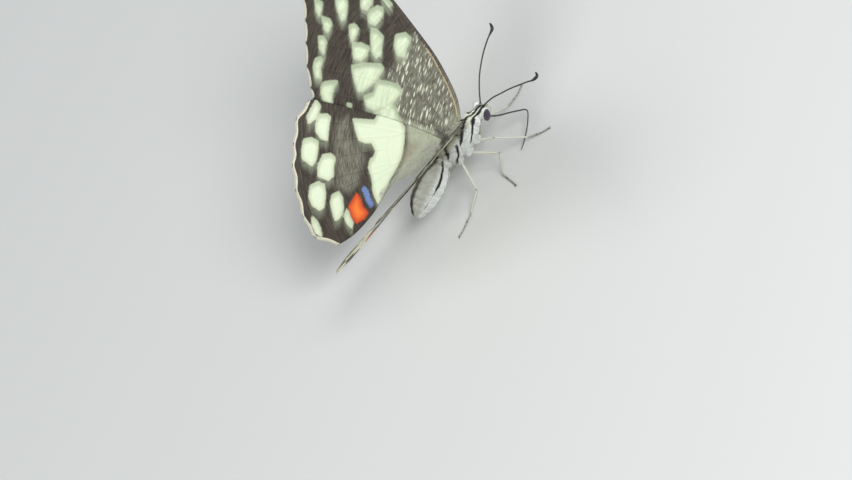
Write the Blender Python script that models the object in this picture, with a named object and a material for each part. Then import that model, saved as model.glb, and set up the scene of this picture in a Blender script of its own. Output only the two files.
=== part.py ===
"""A life-size lime swallowtail butterfly standing on its six legs, wings held up in a wide V.

+X is forward (the head), +Y is the animal's left and +Z is up. The feet stand on z = 0.
Lengths in the tables are millimetres, and MM turns them into metres.
"""

import math

import bmesh
import bpy
from mathutils import Matrix, Vector
from mathutils.geometry import delaunay_2d_cdt

MM = 0.001

# Driving sizes
BODY_HEIGHT = 9.6  # the thorax's middle line above the floor
GAP = 0.3  # clearance between touching pieces
WING_THICKNESS = 0.5
WING_LAYER = 0.56  # forewing above and hindwing below the wing's middle surface
VEIN_HEIGHT = 0.14
VEIN_HALF_WIDTH = 0.34
VEIN_STEP = 3.2  # spacing of the points along a vein
MEMBRANE_STEP = 4.6  # spacing of the loose points between the veins
REAR_LIFT_START = 8.0
REAR_LIFT_LENGTH = 24.0
REAR_LIFT_SPAN = 26.0
# How each side's wings are held: the side, the hinge line's middle (forward, out from the body's middle
# plane, above the thorax's middle line), the angle up, the forewing's turn back, the outer rear's bend up
WINGS_HELD = {
    "left": (1, (0.20, 0.70, 1.71), math.radians(42), 0.0, 3.0),
    "right": (-1, (0.0, 0.60, 2.30), math.radians(41), math.radians(12), 2.0),
}
HEAD_CENTRE = (6.73, 0.0, BODY_HEIGHT + 0.18)
HEAD_HALF_SIZE = (1.25, 1.45, 1.6)
HEAD_ROLL = math.radians(12)
HEAD_PITCH = math.radians(30)  # the face looks down
HEAD_YAW = math.radians(12)
EYE_OFFSET = (0.32, 1.22, 0.0)
EYE_HALF_SIZE = (0.82, 0.82, 1.5)
TARSUS_HEIGHT = 0.15  # middle of the foot above the floor

# The thorax and the abdomen: along the body, height of the middle, half width, half height
THORAX = [
    (5.0, 0.50, 0.55, 0.60),
    (4.7, 0.45, 1.15, 1.20),
    (3.9, 0.30, 1.75, 1.80),
    (2.7, 0.10, 2.15, 2.30),
    (1.0, 0.00, 2.38, 2.60),
    (-1.0, -0.10, 2.38, 2.60),
    (-2.8, -0.20, 2.10, 2.30),
    (-4.1, -0.30, 1.60, 1.75),
    (-4.75, -0.35, 0.90, 1.00),
]
ABDOMEN_AXIS = [(-5.35, -0.37), (-8.0, -1.15), (-11.3, -2.15), (-14.1, -3.0), (-16.7, -4.1)]
ABDOMEN_HALF_WIDTH = [1.30, 2.35, 2.62, 2.35, 1.15]
ABDOMEN_HALF_HEIGHT = [1.45, 2.80, 3.00, 2.50, 1.20]
ABDOMEN_SEGMENTS = 8
SEGMENT_GROOVE = 0.12

# Outlines and veins of the wings: outward from the hinge line, forward along the body
FOREWING_COSTA = [
    (-0.9, 1.7), (0.4, 3.3), (3.2, 5.7), (7.2, 7.6), (11.7, 9.2),
    (17.4, 10.5), (25.2, 12.0), (31.2, 12.6), (37.2, 12.1), (41.2, 10.6),
]
FOREWING_TERMEN = [
    (42.1, 9.0), (41.9, 6.5), (40.1, 3.7), (37.3, 0.8), (34.5, -2.1),
    (31.7, -5.3), (28.8, -8.5), (25.6, -11.1), (23.9, -12.4),
]
FOREWING_INNER = [(23.9, -12.4), (18.0, -9.3), (10.0, -5.4), (3.4, -2.9), (-0.9, -1.7)]
FOREWING_SCALLOP = 0.16
FOREWING_VEINS = {
    "subcosta": [(-0.6, 1.4), (3.4, 4.9), (11.5, 8.4), (19.0, 10.1), (24.6, 11.6)],
    "radius": [(-0.6, 0.9), (4.0, 3.6), (10.0, 6.2), (17.0, 8.3), (20.5, 8.3), (23.2, 7.5)],
    "r1": [(13.4, 7.4), (19.5, 9.3), (27.6, 12.0)],
    "r2": [(18.4, 8.4), (25.0, 10.2), (32.8, 12.3)],
    "r3": [(23.2, 7.5), (30.5, 10.3), (37.6, 11.8)],
    "r4": [(23.2, 7.5), (31.0, 8.6), (41.8, 9.3)],
    "r5": [(31.0, 8.6), (36.5, 7.9), (41.8, 6.5)],
    "cell_end": [(23.2, 7.5), (23.6, 5.1), (22.6, 3.1), (20.6, 1.7)],
    "m1": [(23.6, 6.2), (31.0, 5.6), (40.0, 3.8)],
    "m2": [(23.5, 4.8), (30.0, 3.0), (37.2, 0.9)],
    "m3": [(22.6, 3.1), (28.5, 0.6), (34.4, -2.0)],
    "cubitus": [(-0.6, 0.1), (6.0, 1.3), (13.0, 1.9), (20.6, 1.7)],
    "cua1": [(20.6, 1.7), (26.0, -1.5), (31.6, -5.2)],
    "cua2": [(10.8, 1.6), (17.0, -1.7), (28.7, -8.4)],
    "anal": [(-0.6, -0.7), (6.0, -2.2), (14.0, -5.4), (25.5, -10.9)],
}
HINDWING_COSTA = [(-0.9, 0.4), (3.0, 1.7), (9.0, -0.6), (16.5, -4.9), (22.2, -9.6), (24.4, -13.2)]
HINDWING_TERMEN = [
    (24.4, -13.2), (23.9, -17.3), (21.3, -21.2), (18.9, -24.3), (15.4, -27.5),
    (11.4, -30.4), (7.2, -32.0), (2.9, -30.2),
]
HINDWING_INNER = [
    (2.9, -30.2), (1.9, -26.6), (1.7, -21.5), (2.3, -17.0), (2.3, -14.2), (1.2, -12.0), (0.4, -10.0), (0.1, -6.6),
    (-0.9, -3.0),
]
HINDWING_SCALLOP = 0.42
HINDWING_VEINS = {
    "costal": [(-0.6, -0.1), (5.2, 0.0), (14.2, -4.6), (24.2, -13.4)],
    "radius": [(-0.6, -0.8), (3.2, -2.8), (6.4, -5.6), (8.5, -8.2)],
    "rs": [(6.4, -5.6), (13.2, -9.8), (23.7, -17.2)],
    "cell_end": [(8.5, -8.2), (7.4, -10.4), (4.9, -12.2)],
    "m1": [(8.5, -8.2), (14.8, -14.4), (21.2, -21.1)],
    "m2": [(7.4, -10.4), (13.4, -17.4), (18.8, -24.2)],
    "m3": [(5.2, -12.0), (10.7, -20.0), (15.3, -27.4)],
    "cubitus": [(-0.6, -1.5), (1.0, -5.2), (2.8, -9.0), (4.9, -12.2)],
    "cua1": [(3.9, -10.8), (8.6, -20.5), (11.4, -30.3)],
    "cua2": [(2.3, -8.0), (5.6, -18.0), (7.2, -31.9)],
    "anal": [(-0.5, -2.2), (1.2, -7.0), (3.1, -13.0), (3.0, -22.0), (3.0, -30.0)],
}

# The legs: thigh root, knee, ankle, toe, as forward, sideways and up from the thorax's middle line
TOE_LEVEL = TARSUS_HEIGHT - BODY_HEIGHT
LEGS = {
    "front": [(2.0, 0.95, -1.2), (2.1, 1.25, -2.7), (4.4, 3.0, -3.7), (8.5, 5.0, -8.6), (12.3, 6.7, TOE_LEVEL)],
    "middle": [(-0.6, 1.0, -1.4), (-0.7, 1.4, -3.0), (3.1, 5.0, -5.5), (-0.1, 5.5, -9.0), (0.5, 9.7, TOE_LEVEL)],
    "hind": [(-2.9, 0.95, -1.3), (-3.2, 1.35, -2.9), (-5.5, 4.6, -7.3), (-9.8, 5.7, -9.0), (-14.3, 6.9, TOE_LEVEL)],
}
LEFT_LEG_SHIFT = 0.5  # the left legs stand a little further forward
COXA_RADIUS = 0.62
FEMUR_RADIUS = 0.46
KNEE_RADIUS = 0.34
TIBIA_RADIUS = 0.30
TARSUS_RADIUS = 0.26
CLAW_RADIUS = 0.16
FOOT_LENGTH = 1.5  # the end of each foot that lies flat on the floor
LIMB_BEND = 0.35  # how far from a joint its bend starts

# Feelers, tongue and palps, relative to the head's middle
ANTENNA_BASE = (0.6, 0.38, 1.42)
LEFT_ANTENNA = [
    (2.1, 2.4, 2.5), (3.8, 4.2, 3.85), (5.45, 5.4, 5.2), (7.05, 6.25, 6.55), (8.7, 6.75, 8.05),
    (9.55, 6.8, 8.85), (10.15, 6.95, 9.35), (10.45, 7.5, 9.55), (10.6, 8.25, 9.65),
]
RIGHT_ANTENNA = [
    (2.35, -1.5, 3.1), (3.55, -2.95, 4.5), (4.95, -4.8, 6.25), (6.25, -6.8, 7.9), (7.25, -8.4, 9.2),
    (7.7, -9.35, 9.9), (8.35, -9.9, 10.6), (8.75, -9.8, 10.95), (8.9, -9.05, 11.0),
]
ANTENNA_RADIUS = 0.25
CLUB_RADIUS = 0.42
TONGUE = [
    (-0.2, 0.1, -1.2), (0.1, 0.0, -2.35), (1.4, -0.55, -3.7), (2.9, -0.9, -4.9), (4.3, -1.2, -6.2),
    (4.95, -1.35, -6.95), (4.8, -1.8, -7.5), (3.0, -3.0, -8.3), (0.6, -4.25, -9.0), (-1.2, -4.9, -9.4),
]
TONGUE_RADIUS = 0.26
PALP = [(0.75, 0.36, -1.2), (1.4, 0.4, -0.85), (1.62, 0.4, -0.25), (1.58, 0.34, 0.35)]
PALP_RADII = [0.26, 0.32, 0.30, 0.14]

BODY_SIDES = 20
LIMB_SIDES = 8

COLOURS = {
    "cream_down": ((0.80, 0.79, 0.66, 1.0), 0.85),
    "dark_down": ((0.16, 0.15, 0.11, 1.0), 0.85),
    "eye": ((0.03, 0.025, 0.035, 1.0), 0.22),
    "wing": ((0.62, 0.64, 0.48, 1.0), 0.7),
    "dark_horn": ((0.05, 0.035, 0.03, 1.0), 0.4),
    "leg": ((0.52, 0.50, 0.40, 1.0), 0.6),
}


def material(name):
    """The named colour as a Principled material, made once."""
    found = bpy.data.materials.get(name)
    if found:
        return found
    colour, roughness = COLOURS[name]
    made = bpy.data.materials.new(name)
    made.use_nodes = True
    shader = made.node_tree.nodes["Principled BSDF"]
    shader.inputs["Base Color"].default_value = colour
    shader.inputs["Roughness"].default_value = roughness
    shader.inputs["Metallic"].default_value = 0.0
    made.diffuse_color = colour
    return made


def smooth_curve(points, per_span):
    """Points on a Catmull-Rom curve through the given ones, per_span to each stretch, both ends included."""
    points = [Vector(p) for p in points]
    ends = [2 * points[0] - points[1], *points, 2 * points[-1] - points[-2]]
    found = []
    for a, b, c, d in zip(ends, ends[1:], ends[2:], ends[3:]):
        for k in range(per_span):
            t = k / per_span
            found.append(
                0.5 * (2 * b + (c - a) * t + (2 * a - 5 * b + 4 * c - d) * t * t + (3 * b - a - 3 * c + d) * t**3)
            )
    return found + [points[-1]]


def resampled(points, step):
    """The polyline cut anew into equal stretches of about this length."""
    lengths = [0.0]
    for a, b in zip(points, points[1:]):
        lengths.append(lengths[-1] + (b - a).length)
    count = max(2, round(lengths[-1] / step))
    found = []
    k = 0
    for n in range(count + 1):
        at = lengths[-1] * n / count
        while k < len(points) - 2 and lengths[k + 1] < at:
            k += 1
        share = (at - lengths[k]) / max(lengths[k + 1] - lengths[k], 1e-9)
        found.append(points[k].lerp(points[k + 1], share))
    return found


def new_object(name, vertices, faces, colour, smooth_angle=40):
    """A named mesh object from points in millimetres, its faces turned outwards and shaded smooth."""
    mesh = bpy.data.meshes.new(name)
    mesh.from_pydata([Vector(v) * MM for v in vertices], [], faces)
    tool = bmesh.new()
    tool.from_mesh(mesh)
    bmesh.ops.recalc_face_normals(tool, faces=tool.faces)
    tool.to_mesh(mesh)
    tool.free()
    mesh.shade_smooth()
    mesh.set_sharp_from_angle(angle=math.radians(smooth_angle))
    mesh.materials.append(material(colour))
    made = bpy.data.objects.new(name, mesh)
    bpy.context.scene.collection.objects.link(made)
    return made


def tube(path, half_widths, half_heights, sides, start_side=(0, 1, 0)):
    """Vertices and faces of a closed tube of oval rings along a path, with a point at each end."""
    side = Vector(start_side)
    vertices = [path[0].copy()]
    last = len(path) - 1
    for k in range(1, last):
        along = (path[k] - path[k - 1]).normalized() + (path[k + 1] - path[k]).normalized()
        along.normalize()
        side = (side - along * side.dot(along)).normalized()
        up = along.cross(side)
        for n in range(sides):
            turn = 2 * math.pi * n / sides
            vertices.append(
                path[k] + side * (math.cos(turn) * half_widths[k]) + up * (math.sin(turn) * half_heights[k])
            )
    vertices.append(path[last].copy())
    faces = []
    rings = last - 1
    for n in range(sides):
        after = (n + 1) % sides
        faces.append((0, 1 + after, 1 + n))
        for ring in range(rings - 1):
            low = 1 + ring * sides
            faces.append((low + n, low + after, low + sides + after, low + sides + n))
        top = 1 + (rings - 1) * sides
        faces.append((top + n, top + after, len(vertices) - 1))
    return vertices, faces


def ellipsoid(half_size, sides, rings):
    """Vertices and faces of an ellipsoid about the origin, its poles along X."""
    path, widths, heights = [], [], []
    for k in range(rings + 1):
        turn = math.pi * k / rings
        path.append(Vector((-half_size[0] * math.cos(turn), 0, 0)))
        widths.append(half_size[1] * math.sin(turn))
        heights.append(half_size[2] * math.sin(turn))
    return tube(path, widths, heights, sides)


def cutter(name, vertices, faces):
    """A solid that only cuts others."""
    made = new_object(name, vertices, faces, "dark_down")
    made.hide_render = True
    made.display_type = "WIRE"
    return made


def cut_by(target, tool):
    cut = target.modifiers.new("clear of " + tool.name, "BOOLEAN")
    cut.operation = "DIFFERENCE"
    cut.solver = "EXACT"
    cut.object = tool


def thorax_solid(grow):
    """The thorax's rings, each pushed out by grow millimetres."""
    stations = smooth_curve([(x, z, w, h) for x, z, w, h in THORAX], 3)
    path = [Vector((s[0], 0, BODY_HEIGHT + s[1])) for s in stations]
    middle = path[len(path) // 2]
    path = [p + (p - middle).normalized() * grow if p in (path[0], path[-1]) else p for p in path]
    widths = [s[2] + grow for s in stations]
    heights = [s[3] + grow for s in stations]
    first = path[0] + Vector((0.12, 0, 0))
    last = path[-1] - Vector((0.12, 0, 0))
    return tube([first, *path, last], [0, *widths, 0], [0, *heights, 0], BODY_SIDES)


def abdomen_solid(grow):
    """Eight ringed segments, widest in the middle, each ring pushed out by grow millimetres."""
    columns = [(x, z, w, h) for (x, z), w, h in zip(ABDOMEN_AXIS, ABDOMEN_HALF_WIDTH, ABDOMEN_HALF_HEIGHT)]
    stations = resampled(smooth_curve(columns, 8), 0.55)
    count = len(stations) - 1
    path, widths, heights = [], [], []
    for k, (x, z, w, h) in enumerate(stations):
        ring = 0.5 - 0.5 * math.cos(2 * math.pi * ABDOMEN_SEGMENTS * k / count)
        out = grow - SEGMENT_GROOVE * (1 - ring)
        path.append(Vector((x, 0, BODY_HEIGHT + z)))
        widths.append(w + out)
        heights.append(h + out)
    first = path[0] + (path[0] - path[1]).normalized() * (0.05 + grow)
    last = path[-1] + (path[-1] - path[-2]).normalized() * (0.55 + grow)
    return tube([first, *path, last], [0, *widths, 0], [0, *heights, 0], BODY_SIDES)


def head_frame():
    """An empty at the head's middle that carries the head's turn."""
    frame = bpy.data.objects.new("head_frame", None)
    bpy.context.scene.collection.objects.link(frame)
    frame.location = Vector(HEAD_CENTRE) * MM
    frame.rotation_euler = (HEAD_ROLL, HEAD_PITCH, HEAD_YAW)
    return frame


def make_head(frame):
    """The head's core with an eye in a socket on each side."""
    head = new_object("head", *ellipsoid(HEAD_HALF_SIZE, BODY_SIDES, 12), "dark_down", 60)
    head.parent = frame
    core = cutter("head_clearance", *ellipsoid([h + GAP for h in HEAD_HALF_SIZE], BODY_SIDES, 12))
    core.parent = frame
    for side, turn in (("left", 1), ("right", -1)):
        place = Vector((EYE_OFFSET[0], turn * EYE_OFFSET[1], EYE_OFFSET[2])) * MM
        eye = new_object("eye_" + side, *ellipsoid(EYE_HALF_SIZE, 16, 10), "eye", 60)
        socket = cutter("socket_" + side, *ellipsoid([h + GAP for h in EYE_HALF_SIZE], 16, 10))
        for piece in (eye, socket):
            piece.parent = frame
            piece.location = place
        cut_by(head, socket)
    return core


def make_palps(frame, core):
    path = smooth_curve(PALP, 3)
    radii = [p[0] for p in smooth_curve([(r, 0) for r in PALP_RADII], 3)]
    for side, turn in (("left", 1), ("right", -1)):
        line = [Vector((p.x, turn * p.y, p.z)) for p in path]
        palp = new_object("palp_" + side, *tube(line, radii, radii, LIMB_SIDES), "cream_down")
        palp.parent = frame
        cut_by(palp, core)


def make_antenna(name, base, points, frame, core):
    """A thin feeler that ends in an upturned club."""
    path = resampled(smooth_curve([base, *points], 8), 0.72)
    count = len(path) - 1
    radii = []
    for k in range(count + 1):
        share = k / count
        swell = max(0.0, 1 - abs(share - 0.90) / 0.14)
        radii.append(ANTENNA_RADIUS + (CLUB_RADIUS - ANTENNA_RADIUS) * swell * swell * (3 - 2 * swell))
    antenna = new_object(name, *tube(path, radii, radii, LIMB_SIDES), "dark_horn")
    antenna.parent = frame
    cut_by(antenna, core)


def make_tongue(core):
    """The long tongue, bent at its elbow, with its tip just above the floor."""
    path = resampled(smooth_curve(TONGUE, 8), 0.75)
    count = len(path) - 1
    radii = [TONGUE_RADIUS * (1.0 if k < count - 2 else 0.8) for k in range(count + 1)]
    tongue = new_object("proboscis", *tube(path, radii, radii, LIMB_SIDES), "dark_horn")
    tongue.location = Vector(HEAD_CENTRE) * MM
    cut_by(tongue, core)


def leg_path(joints):
    """Points and radii from the thigh's root to the toe, with each bend rounded and the foot lying flat."""
    coxa, thigh, knee, ankle, toe = joints
    heading = Vector((toe.x - ankle.x, toe.y - ankle.y, 0)).normalized()
    heel = toe - heading * FOOT_LENGTH
    path = [coxa, coxa.lerp(thigh, 0.5)]
    radii = [COXA_RADIUS, COXA_RADIUS]
    stretches = [
        (thigh, knee, FEMUR_RADIUS, KNEE_RADIUS),
        (knee, ankle, KNEE_RADIUS, TIBIA_RADIUS),
        (ankle, heel, TIBIA_RADIUS, TARSUS_RADIUS),
        (heel, toe, TARSUS_RADIUS, TARSUS_RADIUS),
    ]
    for start, end, first, last in stretches:
        bend = LIMB_BEND / (end - start).length
        for share in (bend, 0.5, 1 - bend):
            path.append(start.lerp(end, share))
            radii.append(first + (last - first) * share)
    path.append(toe)
    radii.append(CLAW_RADIUS)
    return path, radii


def make_leg(name, joints, side, shift, clearance):
    points = [Vector((x + shift, side * y, BODY_HEIGHT + z)) for x, y, z in joints]
    points[0].x -= shift
    points[1].x -= shift
    path, radii = leg_path(points)
    vertices, faces = tube(path, radii, radii, LIMB_SIDES, (1, 0, 0))
    origin = points[0]
    vertices = [Vector((v.x, v.y, max(v.z, 0.0))) - origin for v in vertices]
    leg = new_object(name, vertices, faces, "leg")
    leg.location = origin * MM
    cut_by(leg, clearance)


def scalloped(ends, depth):
    """The margin between vein ends: each stretch curves in between two veins."""
    found = []
    for a, b in zip(ends, ends[1:]):
        a, b = Vector(a), Vector(b)
        inward = Vector((b - a).orthogonal()).normalized()
        if inward.dot(a) > 0:
            inward = -inward
        steps = 5
        for k in range(steps):
            share = k / steps
            found.append(a.lerp(b, share) + inward * (depth * math.sin(math.pi * share) ** 0.8))
    return found + [Vector(ends[-1])]


def inside(point, outline):
    found = False
    for a, b in zip(outline, outline[1:] + outline[:1]):
        if (a.y > point.y) != (b.y > point.y):
            if point.x < a.x + (point.y - a.y) * (b.x - a.x) / (b.y - a.y):
                found = not found
    return found


def distance_to(point, line):
    best = 1e9
    for a, b in zip(line, line[1:]):
        along = b - a
        share = min(1.0, max(0.0, (point - a).dot(along) / max(along.length_squared, 1e-12)))
        best = min(best, (point - a - along * share).length)
    return best


def flank(line, offset, start_gap, end_gap):
    """A line beside a vein, stopping short of both its ends."""
    total = sum((b - a).length for a, b in zip(line, line[1:]))
    found, run = [], 0.0
    for k, point in enumerate(line):
        if k:
            run += (point - line[k - 1]).length
        before, after = line[max(k - 1, 0)], line[min(k + 1, len(line) - 1)]
        along = (after - before).normalized()
        if start_gap <= run <= total - end_gap:
            found.append(point + Vector((-along.y, along.x)) * offset)
    return found


def rear_bend(out, forward):
    """How much of the rear's bend a place of the wing has, 1 at its far corner."""
    back = max(0.0, (-forward - REAR_LIFT_START) / REAR_LIFT_LENGTH)
    span = min(1.0, max(0.0, out / REAR_LIFT_SPAN))
    return back**1.4 * span * span * (3 - 2 * span)


def wing_sheet(outline, veins, sweep):
    """One triangulation of the wing, and for each point its place and the height of a vein there."""
    turn = Matrix.Rotation(sweep, 2)
    outline = [turn @ p for p in outline]
    rim = outline + outline[:1]
    points, edges, ridge = [], [], []

    def add(line, heights, closed=False):
        first = len(points)
        points.extend(line)
        ridge.extend(heights)
        edges.extend((first + k, first + k + 1) for k in range(len(line) - 1))
        if closed:
            edges.append((first + len(line) - 1, first))

    add(outline, [0.0] * len(outline), True)
    crests = []
    for controls in veins.values():
        line = [turn @ p for p in resampled(smooth_curve(controls, 6), VEIN_STEP)]
        crests.append(line)
        count = len(line) - 1
        heights = [VEIN_HEIGHT * (1.0 - 0.35 * k / count) for k in range(count + 1)]
        heights[-1] = 0.0
        line[-1] = line[-1] + (line[-2] - line[-1]).normalized() * 0.55
        add(line, heights)
    for line in crests:
        for offset in (VEIN_HALF_WIDTH, -VEIN_HALF_WIDTH):
            beside = flank(line, offset, 2.0, 0.9)
            within = [p for p in beside if inside(p, outline) and distance_to(p, rim) > 0.15]
            clear = [p for p in within if all(distance_to(p, c) > 0.3 for c in crests)]
            if len(clear) == len(beside) > 1:
                add(beside, [0.0] * len(beside))
            else:
                points.extend(clear)
                ridge.extend([0.0] * len(clear))
    low = Vector((min(p.x for p in outline), min(p.y for p in outline)))
    high = Vector((max(p.x for p in outline), max(p.y for p in outline)))
    rows = int((high.y - low.y) / MEMBRANE_STEP) + 1
    columns = int((high.x - low.x) / MEMBRANE_STEP) + 1
    for row in range(rows):
        for column in range(columns):
            place = low + Vector((column + 0.5 * (row % 2), row)) * MEMBRANE_STEP
            if inside(place, outline) and distance_to(place, rim) > 1.2:
                if all(distance_to(place, c) > 1.1 for c in crests):
                    points.append(place)
                    ridge.append(0.0)
    made = delaunay_2d_cdt(points, edges, [list(range(len(outline)))], 1, 1e-5, True)
    sheet, _, faces, origins = made[0], made[1], made[2], made[3]
    # Triangles that bridge a hollow of the margin lie outside it
    faces = [f for f in faces if inside(sum((sheet[n] for n in f), Vector((0, 0))) / len(f), outline)]
    heights = [max([ridge[n] for n in found], default=VEIN_HEIGHT) for found in origins]
    return sheet, faces, heights


def wing_solid(outline, veins, sweep, layer, side, lift):
    """A closed wing: the same triangles above and below, with the veins raised on both faces."""
    sheet, faces, ridges = wing_sheet(outline, veins, sweep)
    upper, lower = [], []
    for place, ridge in zip(sheet, ridges):
        out, forward = place
        middle = layer + lift * rear_bend(out, forward)
        half = WING_THICKNESS / 2 + ridge
        upper.append(Vector((forward, side * out, middle + half)))
        lower.append(Vector((forward, side * out, middle - half)))
    count = len(sheet)
    solid = [tuple(f) for f in faces]
    solid += [tuple(count + n for n in reversed(f)) for f in faces]
    seen = {(a, b) for f in faces for a, b in zip(f, f[1:] + f[:1])}
    for a, b in seen:
        if (b, a) not in seen:
            solid.append((b, a, count + a))
            solid.append((b, count + a, count + b))
    return upper + lower, solid


def make_wing(name, solid, hinge, turn, clearances):
    wing = new_object(name, *solid, "wing", 30)
    wing.location = hinge * MM
    wing.rotation_euler = (turn, 0, 0)
    for clearance in clearances:
        cut_by(wing, clearance)


def forewing_outline():
    front = resampled(smooth_curve(FOREWING_COSTA, 4), 1.9)
    outer = scalloped(FOREWING_TERMEN, FOREWING_SCALLOP)
    inner = resampled(smooth_curve(FOREWING_INNER, 4), 2.6)
    return front + outer + inner[1:]


def hindwing_outline():
    front = resampled(smooth_curve(HINDWING_COSTA, 4), 2.4)
    outer = scalloped(HINDWING_TERMEN, HINDWING_SCALLOP)
    inner = resampled(smooth_curve(HINDWING_INNER, 4), 2.2)
    return front[:-1] + outer + inner[1:]


def make_wings(clearances):
    fore, hind = forewing_outline(), hindwing_outline()
    for name, (side, (ahead, out, above), dihedral, sweep, lift) in WINGS_HELD.items():
        hinge = Vector((ahead, side * out, BODY_HEIGHT + above))
        fore_solid = wing_solid(fore, FOREWING_VEINS, -sweep, WING_LAYER, side, lift)
        hind_solid = wing_solid(hind, HINDWING_VEINS, 0.0, -WING_LAYER, side, lift)
        make_wing("forewing_" + name, fore_solid, hinge, side * dihedral, clearances[:1])
        make_wing("hindwing_" + name, hind_solid, hinge, side * dihedral, clearances)


def make_legs(clearance):
    for pair, joints in LEGS.items():
        make_leg(f"leg_{pair}_right", joints, -1, 0.0, clearance)
        make_leg(f"leg_{pair}_left", joints, 1, LEFT_LEG_SHIFT, clearance)


def centre_on_floor():
    """Moves everything so that the origin is under the middle of the whole animal's box."""
    bpy.context.view_layer.update()
    graph = bpy.context.evaluated_depsgraph_get()
    corners = []
    for piece in bpy.context.scene.objects:
        if piece.type == "MESH" and not piece.hide_render:
            shown = piece.evaluated_get(graph)
            corners += [shown.matrix_world @ v.co for v in shown.data.vertices]
    middle = Vector((
        (min(c.x for c in corners) + max(c.x for c in corners)) / 2,
        (min(c.y for c in corners) + max(c.y for c in corners)) / 2,
        0,
    ))
    for piece in bpy.context.scene.objects:
        if piece.parent is None:
            piece.location = piece.location - middle


def main():
    for old in list(bpy.data.objects):
        bpy.data.objects.remove(old)
    new_object("thorax", *thorax_solid(0.0), "dark_down", 60)
    new_object("abdomen", *abdomen_solid(0.0), "cream_down", 60)
    by_thorax = cutter("thorax_clearance", *thorax_solid(GAP))
    by_abdomen = cutter("abdomen_clearance", *abdomen_solid(GAP))
    frame = head_frame()
    core = make_head(frame)
    make_palps(frame, core)
    base = Vector(ANTENNA_BASE)
    make_antenna("antenna_left", base, LEFT_ANTENNA, frame, core)
    make_antenna("antenna_right", Vector((base.x, -base.y, base.z)), RIGHT_ANTENNA, frame, core)
    make_tongue(core)
    make_wings([by_thorax, by_abdomen])
    make_legs(by_thorax)
    centre_on_floor()


main()
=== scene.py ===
"""The looks of the lime swallowtail: scaled, veined wings, one haired skin, eyes, feelers, tongue, legs.

Lengths in the tables are millimetres in the body's own frame: x forward, y left, z up from the floor.
Wing places are (outward from the hinge line, forward along the body).
"""

import math

import bmesh
import bpy
import numpy as np
from mathutils import Euler, Matrix, Vector
from mathutils.geometry import delaunay_2d_cdt
from mathutils.kdtree import KDTree


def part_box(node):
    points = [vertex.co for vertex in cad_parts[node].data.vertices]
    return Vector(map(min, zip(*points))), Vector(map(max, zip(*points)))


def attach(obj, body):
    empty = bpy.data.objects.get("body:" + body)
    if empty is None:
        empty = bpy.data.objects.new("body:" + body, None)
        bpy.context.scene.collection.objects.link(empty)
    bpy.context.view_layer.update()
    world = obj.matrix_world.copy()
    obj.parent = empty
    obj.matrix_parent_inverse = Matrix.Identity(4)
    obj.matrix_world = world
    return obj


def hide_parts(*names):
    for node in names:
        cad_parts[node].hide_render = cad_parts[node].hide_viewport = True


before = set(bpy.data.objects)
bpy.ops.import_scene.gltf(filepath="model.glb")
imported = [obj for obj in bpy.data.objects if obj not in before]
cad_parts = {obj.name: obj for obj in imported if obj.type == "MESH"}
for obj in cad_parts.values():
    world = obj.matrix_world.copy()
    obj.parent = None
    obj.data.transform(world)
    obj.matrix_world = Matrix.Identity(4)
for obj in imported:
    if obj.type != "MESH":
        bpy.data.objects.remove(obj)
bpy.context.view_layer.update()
RANDOM = np.random.default_rng(11)

MM = 0.001
# The solids' own sizes, which the looks follow
BODY_HEIGHT = 9.6
THORAX_FRONT = 5.12
REAR_LIFT_START = 8.0
REAR_LIFT_LENGTH = 24.0
REAR_LIFT_SPAN = 26.0
# How each side's wings are held: the side, the hinge line's middle (forward, out from the body's middle
# plane, above the thorax's middle line), the angle up, the forewing's turn back, the outer rear's bend up
WINGS_HELD = {
    "left": (1, (0.20, 0.70, 1.71), math.radians(42), 0.0, 3.0),
    "right": (-1, (0.0, 0.60, 2.30), math.radians(41), math.radians(12), 2.0),
}
HEAD_CENTRE = (6.73, 0.0, BODY_HEIGHT + 0.18)
HEAD_TURN = np.array(Euler((math.radians(12), math.radians(30), math.radians(12))).to_matrix())
EYE_OFFSET = (0.32, 1.22, 0.0)
EYE_HALF_SIZE = (0.87, 0.87, 1.6)

# The wings' finish
WING_LAYER = 0.14
MEMBRANE_HALF = 0.06
RIM_HALF = 0.04
VEIN_RISE = 0.08
VEIN_ROOT_HALF_WIDTH = 0.26
VEIN_TIP_HALF_WIDTH = 0.14
PLEAT = 0.07
REAR_EDGE_DROP = 0.12  # the forewing's rear edge rests on the hindwing
REAR_EDGE_WIDTH = 1.8
WING_STEP = 0.46

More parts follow.
